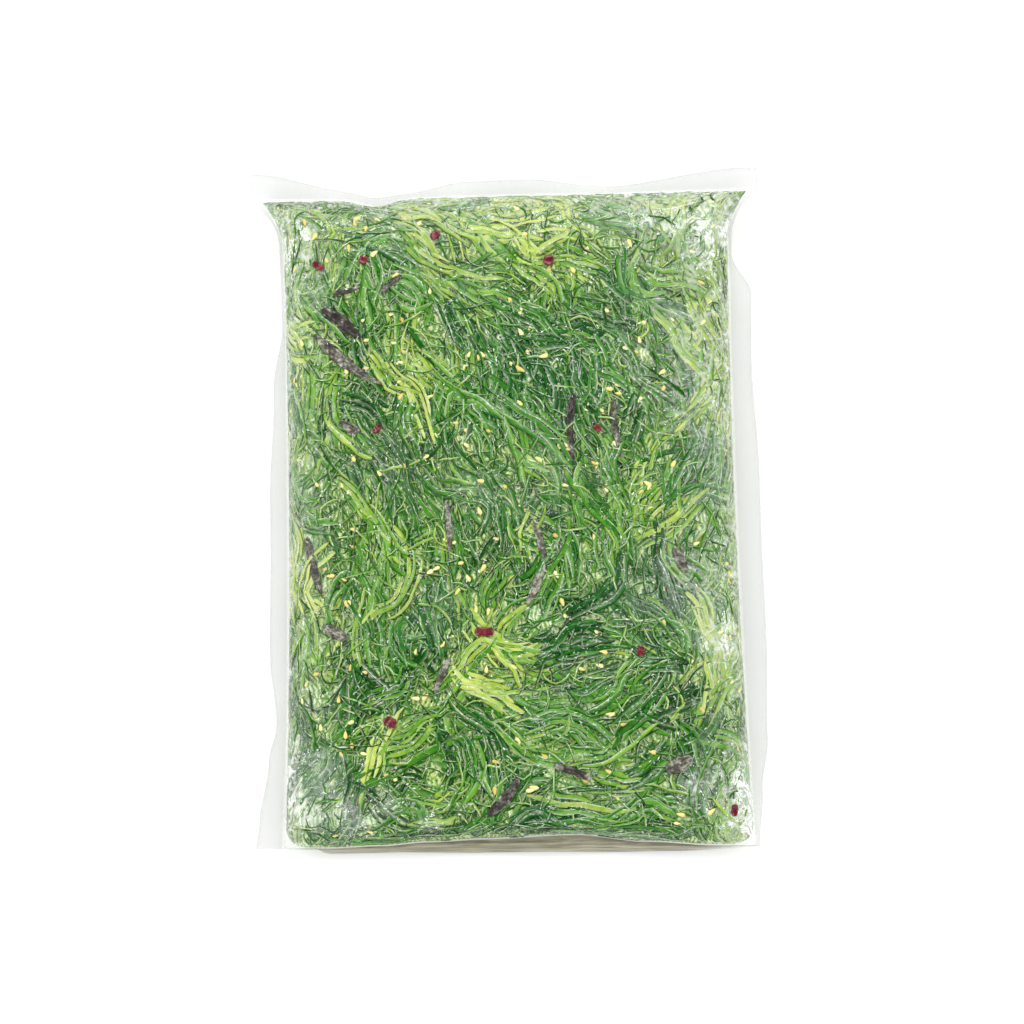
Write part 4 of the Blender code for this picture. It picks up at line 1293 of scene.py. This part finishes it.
def loose_pieces(side, label):
    rows = [(*row[:4], LEAF_SHARE * row[4], row[5]) for row in LEAVES[side]]
    rings = loose(rows, side, 81 + side, **LEAF_CUT)
    # Each leaf's rim number gives it a painted highlight on one edge and painted shade on the other.
    leaves = skin(f"broad_leaves_{label}", rings, WAKAME, "wakame_ribbon",
                  tone=np.linspace(*LEAF_TONES, len(rings))[:, None, None], rim=0.7 * SHRED[:, 0] ** 3,
                  run=run_of(rings, 87))
    stand_for(leaves, "wakame_ribbon", len(rings))
    rings = loose(WOOD_EARS[side], side, 83 + side, **EAR_CUT)
    bleach = np.resize(BLEACH, len(rings))[:, None, None]
    ears = skin(f"wood_ear_shreds_{label}", rings, WOOD_EAR, "wood_ear", bleach=bleach,
                rim=1.4 * SHRED[:, 0], run=run_of(rings, 88))
    stand_for(ears, "wood_ear_strip", len(rings))
    rings = loose(CHILLIES[side], side, 85 + side, **CHILLI_CUT)
    stand_for(skin(f"chilli_squares_{label}", rings, CHILLI, "red_chilli"), "chilli_bit", len(rings))


loose_pieces(FRONT, "front")
loose_pieces(BACK, "back")
print("solids replaced:", taken)

# %% [markdown]
# ## How near the food comes
# The webs are clear film, drawn tight onto the frozen food. The film sinks a little between the
# strips, and those small dips give the pouch its glints. So we first map how near the film the food
# comes, smooth the map, and let the film follow it. A cloth simulation could do it too, but it would
# need millions of contacts.

# %% Map the food
CELL = 0.0008
MAP_HALF_X, MAP_HALF_Y = 0.104, 0.162


def food_map(side, laid):
    """Grid of the least depth below the film of anything solid, over the flat web."""
    paths, depth, half = laid
    columns, rows = int(2 * MAP_HALF_X / CELL), int(2 * MAP_HALF_Y / CELL)
    u = (np.arange(columns) + 0.5) * CELL - MAP_HALF_X
    v = (np.arange(rows) + 0.5) * CELL - MAP_HALF_Y
    grid = block_depth(*np.meshgrid(u, v), side)
    normal = normals_of(paths)[:, :-1]
    for k in (0.0, 0.25, 0.5, 0.75):
        path = paths[:, :-1] * (1 - k) + paths[:, 1:] * k
        for across in (-0.9, -0.45, 0.0, 0.45, 0.9):
            spot = path + normal * half[:, :-1, None] * across
            column = np.clip(((spot[..., 0] + MAP_HALF_X) / CELL).astype(int), 0, columns - 1)
            row = np.clip(((spot[..., 1] + MAP_HALF_Y) / CELL).astype(int), 0, rows - 1)
            np.minimum.at(grid, (row, column), depth[:, :-1] - STRIP_THICK * (1 - 0.7 * abs(across)))
    return grid


front_map, back_map = food_map(FRONT, front_strips), food_map(BACK, back_strips)
print("food lies", round(float(np.median(front_map)) * 1000, 2), "mm below the front film at the middle")


# %% Smooth and read the map
def blur(grid, times):
    """Smooths a grid with a small round kernel, times over."""
    for _ in range(times):
        for axis in (0, 1):
            grid = (np.roll(grid, 1, axis) + 2 * grid + np.roll(grid, -1, axis)) / 4
    return grid


def look_up(grid, u, v):
    """Reads a grid between its cells."""
    column = np.clip((u + MAP_HALF_X) / CELL - 0.5, 0, grid.shape[1] - 1.001)
    row = np.clip((v + MAP_HALF_Y) / CELL - 0.5, 0, grid.shape[0] - 1.001)
    i, j = row.astype(int), column.astype(int)
    a, b = row - i, column - j
    near = grid[i, j] * (1 - b) + grid[i, j + 1] * b
    far = grid[i + 1, j] * (1 - b) + grid[i + 1, j + 1] * b
    return near * (1 - a) + far * a


print("smoothed, at the middle", round(1000 * float(look_up(blur(front_map, 2), 0.0, 0.0)), 2), "mm")

# %% [markdown]
# ## The film's finish
# Clear film shows itself only where it is frosted, welded or folded, by a painted reflection where it
# turns away from the camera, and by small white specks, partly ice on its inside and partly painted
# glints. The fold is dark partly from its layers of film and partly from painted shade. Those places
# are numbers on the mesh's points: haze, weld, fold and veil. The shader stays one Principled shader,
# and the numbers drive its alpha, so the film can be exported too. Real glass nodes would bend the light
# as well, but they are slow and noisy in front of so many strips.

# %% What the film's colour is
FROSTED_FILM, WELDED_FILM = (0.86, 0.90, 0.83), (0.42, 0.43, 0.42)
# The folded film's dark is partly its layers of film and partly painted shade in the fold.
FOLDED_FILM_AND_SHADE, PALE_FOLD, SPECK = (0.150, 0.145, 0.085), (0.440, 0.410, 0.300), (0.90, 0.93, 0.88)
FOLD_STREAKS = (45, 700, 900)
# The white specks are partly ice and partly painted glints.
FOLD_COVER, SPECK_COVER = 0.88, 0.8


def film_colour(bench, weld, fold, speck):
    """Frosted, welded or folded, with painted shade and long streaks in the fold, and white specks."""
    squeeze = bench.add("ShaderNodeMapping", Vector=bench.place())
    squeeze.inputs["Scale"].default_value = FOLD_STREAKS
    squeezed = squeeze.outputs["Vector"]
    streak = bench.add("ShaderNodeTexNoise", Vector=squeezed, Scale=1.0, Detail=4.0, Roughness=0.6)
    folded = bench.ramp(streak.outputs["Fac"], ((0.38, FOLDED_FILM_AND_SHADE), (0.66, PALE_FOLD)))
    colour = bench.blend(speck, bench.blend(weld, FROSTED_FILM, WELDED_FILM), SPECK)
    return bench.blend(fold, colour, folded)


print("streaks in the fold, per metre:", FOLD_STREAKS)


# %% How much the film covers
def film_cover(bench, haze, fold, veil, speck):
    """How much the film hides: feathers of frost, a painted reflection at steep places, the weld's veil,
    specks and the fold.
    """
    feather = bench.line(bench.cloud(210, 4.0, 0.66, 2.0), 7.0, -3.3, clamp=True)
    cover = bench.times(haze, bench.line(feather, 1.3, bench.times(bench.cloud(150, 2.0), 0.9)))
    # Painted reflection: the film covers more, in its pale colour, where it turns away from the camera.
    steep = bench.add("ShaderNodeLayerWeight", Blend=0.25).outputs["Facing"]
    cover = bench.line(bench.times(steep, steep), 0.35, cover)
    cover = bench.most(bench.most(cover, veil), bench.times(speck, SPECK_COVER))
    return bench.most(cover, bench.times(fold, FOLD_COVER), clamp=True)


print("the fold covers", FOLD_COVER, "and a speck", SPECK_COVER)


# %% The clear film
def film_finish():
    bench = Bench("clear_film")
    haze, weld, fold, veil = (bench.number(name) for name in ("haze", "weld", "fold", "veil"))
    # Specks: small white marks, partly ice on the film's inside and partly painted glints.
    speck = bench.line(bench.cloud(820, 2.0, 0.5, 1.2), 10.0, -6.15, clamp=True)
    speck = bench.times(speck, bench.work("SUBTRACT", 0.7, weld, clamp=True))
    bench.relief(bench.cloud(420, 2.0, 0.6), 0.2, 0.0003)
    colour, cover = film_colour(bench, weld, fold, speck), film_cover(bench, haze, fold, veil, speck)
    rough, shine = bench.line(weld, 0.22, 0.14), bench.line(weld, -0.38, 0.50)
    bench.give(Base_Color=colour, Alpha=cover, Roughness=rough, Specular_IOR_Level=shine, IOR=1.8)
    return bench.give(Coat_Weight=bench.line(weld, -0.45, 0.50), Coat_Roughness=0.06)


FILM = film_finish()
print("film nodes:", len(FILM.node_tree.nodes))

# %% [markdown]
# ## Where the film is milky
# The film is milky on the walls, over the head and in the corner at the foot, where the food has
# frosted it from inside. It could be painted by hand, but then it would not follow the form when a
# measure changes. So soft spots and the stations of the form say where it is, and a ripple breaks it.

# %% Haze on the film
WALL_HAZE, HEAD_HAZE = 0.26, 0.22
FACE_HAZE, ICE_HAZE, FROST_HAZE, MILKY_HAZE, EDGE_HAZE = 0.06, 0.30, 0.40, 0.18, 0.15
CORNER_ICE = ((94, -127, 7), (93, 110, 4))  # x, y and reach in millimetres
HAZE_SPOTS = (
    (-18, 6, 9), (22, 12, 10), (8, -2, 8), (50, -42, 9), (-28, -44, 8), (-10, 96, 8), (60, 70, 12),
    (-52, 12, 10),
)
MILKY_SPOTS = (
    (78, 62, 15), (80, 34, 14), (-84, 96, 10), (60, 110, 12), (78, -34, 13), (95, -128, 9), (98, -134, 8),
)


def haze_of(s, t, u, v, side):
    """How milky the film is: at the walls, over the head and in a few spots."""
    streaks = 0.75 + 0.25 * ripple(u * 2, v, 0.014, 95)
    wall = WALL_HAZE * ease((np.abs(s) - 1.10) / 0.85) * streaks
    head = HEAD_HAZE * ease((t - 1.15) / 0.8) * streaks
    inside = 1 - ease((np.maximum(np.abs(s), np.abs(t)) - 1.95) / 0.1)
    if side == BACK:
        return np.maximum(wall, head) * inside
    face = FACE_HAZE * np.clip(spots(u, v, HAZE_SPOTS), 0, 1) + ICE_HAZE * spots(u, v, CORNER_ICE)
    face = face + FROST_HAZE * np.clip(spots(u, v, FROST_SPOTS), 0, 1) * streaks
    broad = MILKY_HAZE * np.clip(spots(u, v, MILKY_SPOTS), 0, 1)
    broad = broad + EDGE_HAZE * edge_share(u, v, side) * streaks
    return (np.maximum(wall, head) + face + broad) * inside


print("milky spots:", len(CORNER_ICE) + len(HAZE_SPOTS) + len(MILKY_SPOTS))

# %% [markdown]
# ## The two webs
# Each web is one open sheet, as real film is: its flat part, its walls and its weld, out to the free
# edge. The two lie a hair apart at the weld, so that no face is shared. A solidify modifier would give
# the film two skins, but the eye can't tell them apart at this size, and each would add its own haze.

# %% Numbers on the webs
WEB_COLUMNS = {FRONT: (12, 122, 12), BACK: (10, 80, 10)}
WEB_ROWS = {FRONT: (8, 172, 24), BACK: (8, 110, 18)}
WELD_STEPS = 9
VEIL, HEAD_VEIL, FREE_EDGE_VEIL = 0.20, 0.04, 0.10  # how much the weld covers


def web_stations(steps):
    """Stations from -3 to 3: the weld, the walls and the plate."""
    weld = np.linspace(2, 3, WELD_STEPS + 1)[1:]
    return np.concatenate([-weld[::-1], stations(steps), weld])


def web_numbers(s, t, u, v, x, side):
    """The weld, fold, veil and haze at the stations, for the film's finish."""
    outer = np.maximum(np.abs(s), np.abs(t))
    weld = ease((outer - 1.9) / 0.2)
    fold = ease((-t - 1.99) / 0.12) * (1 - ease((-x - EAR_X - 0.011) / 0.007)) * (np.abs(s) < 2.02)
    fold = fold * (1 - 0.7 * ease((x - FOLD_END_X) / FOLD_END_LENGTH))
    veil = VEIL + HEAD_VEIL * ease(t - 1.5) + FREE_EDGE_VEIL * ease((outer - 2.86) / 0.12)
    return {"weld": weld, "fold": fold, "veil": weld * veil, "haze": haze_of(s, t, u, v, side)}


sizes = [len(web_stations(steps[FRONT])) for steps in (WEB_COLUMNS, WEB_ROWS)]
print("stations across and along the front web:", *sizes)

# %% Form the webs
FILM_GAP, FILM_LIP, DEEPEST_DIP = 0.00022, 0.00030, 0.0012
CRUMPLE, CRUMPLE_LENGTH = 0.00010, 0.011


def form_web(side, name, node, grid):
    s, t = np.meshgrid(web_stations(WEB_COLUMNS[side]), web_stations(WEB_ROWS[side]))
    u, v = flat_place(s, t, side)
    rim = np.clip(3 * np.minimum(2 - np.abs(s), 2 - np.abs(t)), 0, 1)
    depth = np.clip(look_up(blur(grid, 2), u, v) - FILM_GAP, 0.00006, DEEPEST_DIP) * rim
    points = form(s, t, side, depth, FILM_LIP)
    x, y = points[..., 0], points[..., 1]
    crumpled = ease((np.maximum(np.abs(s), np.abs(t)) - 1.5) / 0.5)
    points[..., 2] += crumpled * CRUMPLE * ripple(x, y, CRUMPLE_LENGTH, 90)
    web = sheet(name, points, FILM, "clear_film", flip=side == BACK, **web_numbers(s, t, u, v, x, side))
    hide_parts(node)


form_web(FRONT, "front_web", "film_front", front_map)
form_web(BACK, "back_web", "film_back", back_map)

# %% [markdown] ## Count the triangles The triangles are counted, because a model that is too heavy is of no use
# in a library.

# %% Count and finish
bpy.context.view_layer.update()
seen = [o.data for o in bpy.context.scene.objects if o.type == "MESH" and not o.hide_render]
print("triangles", sum(len(mesh.loops) - 2 * len(mesh.polygons) for mesh in seen))
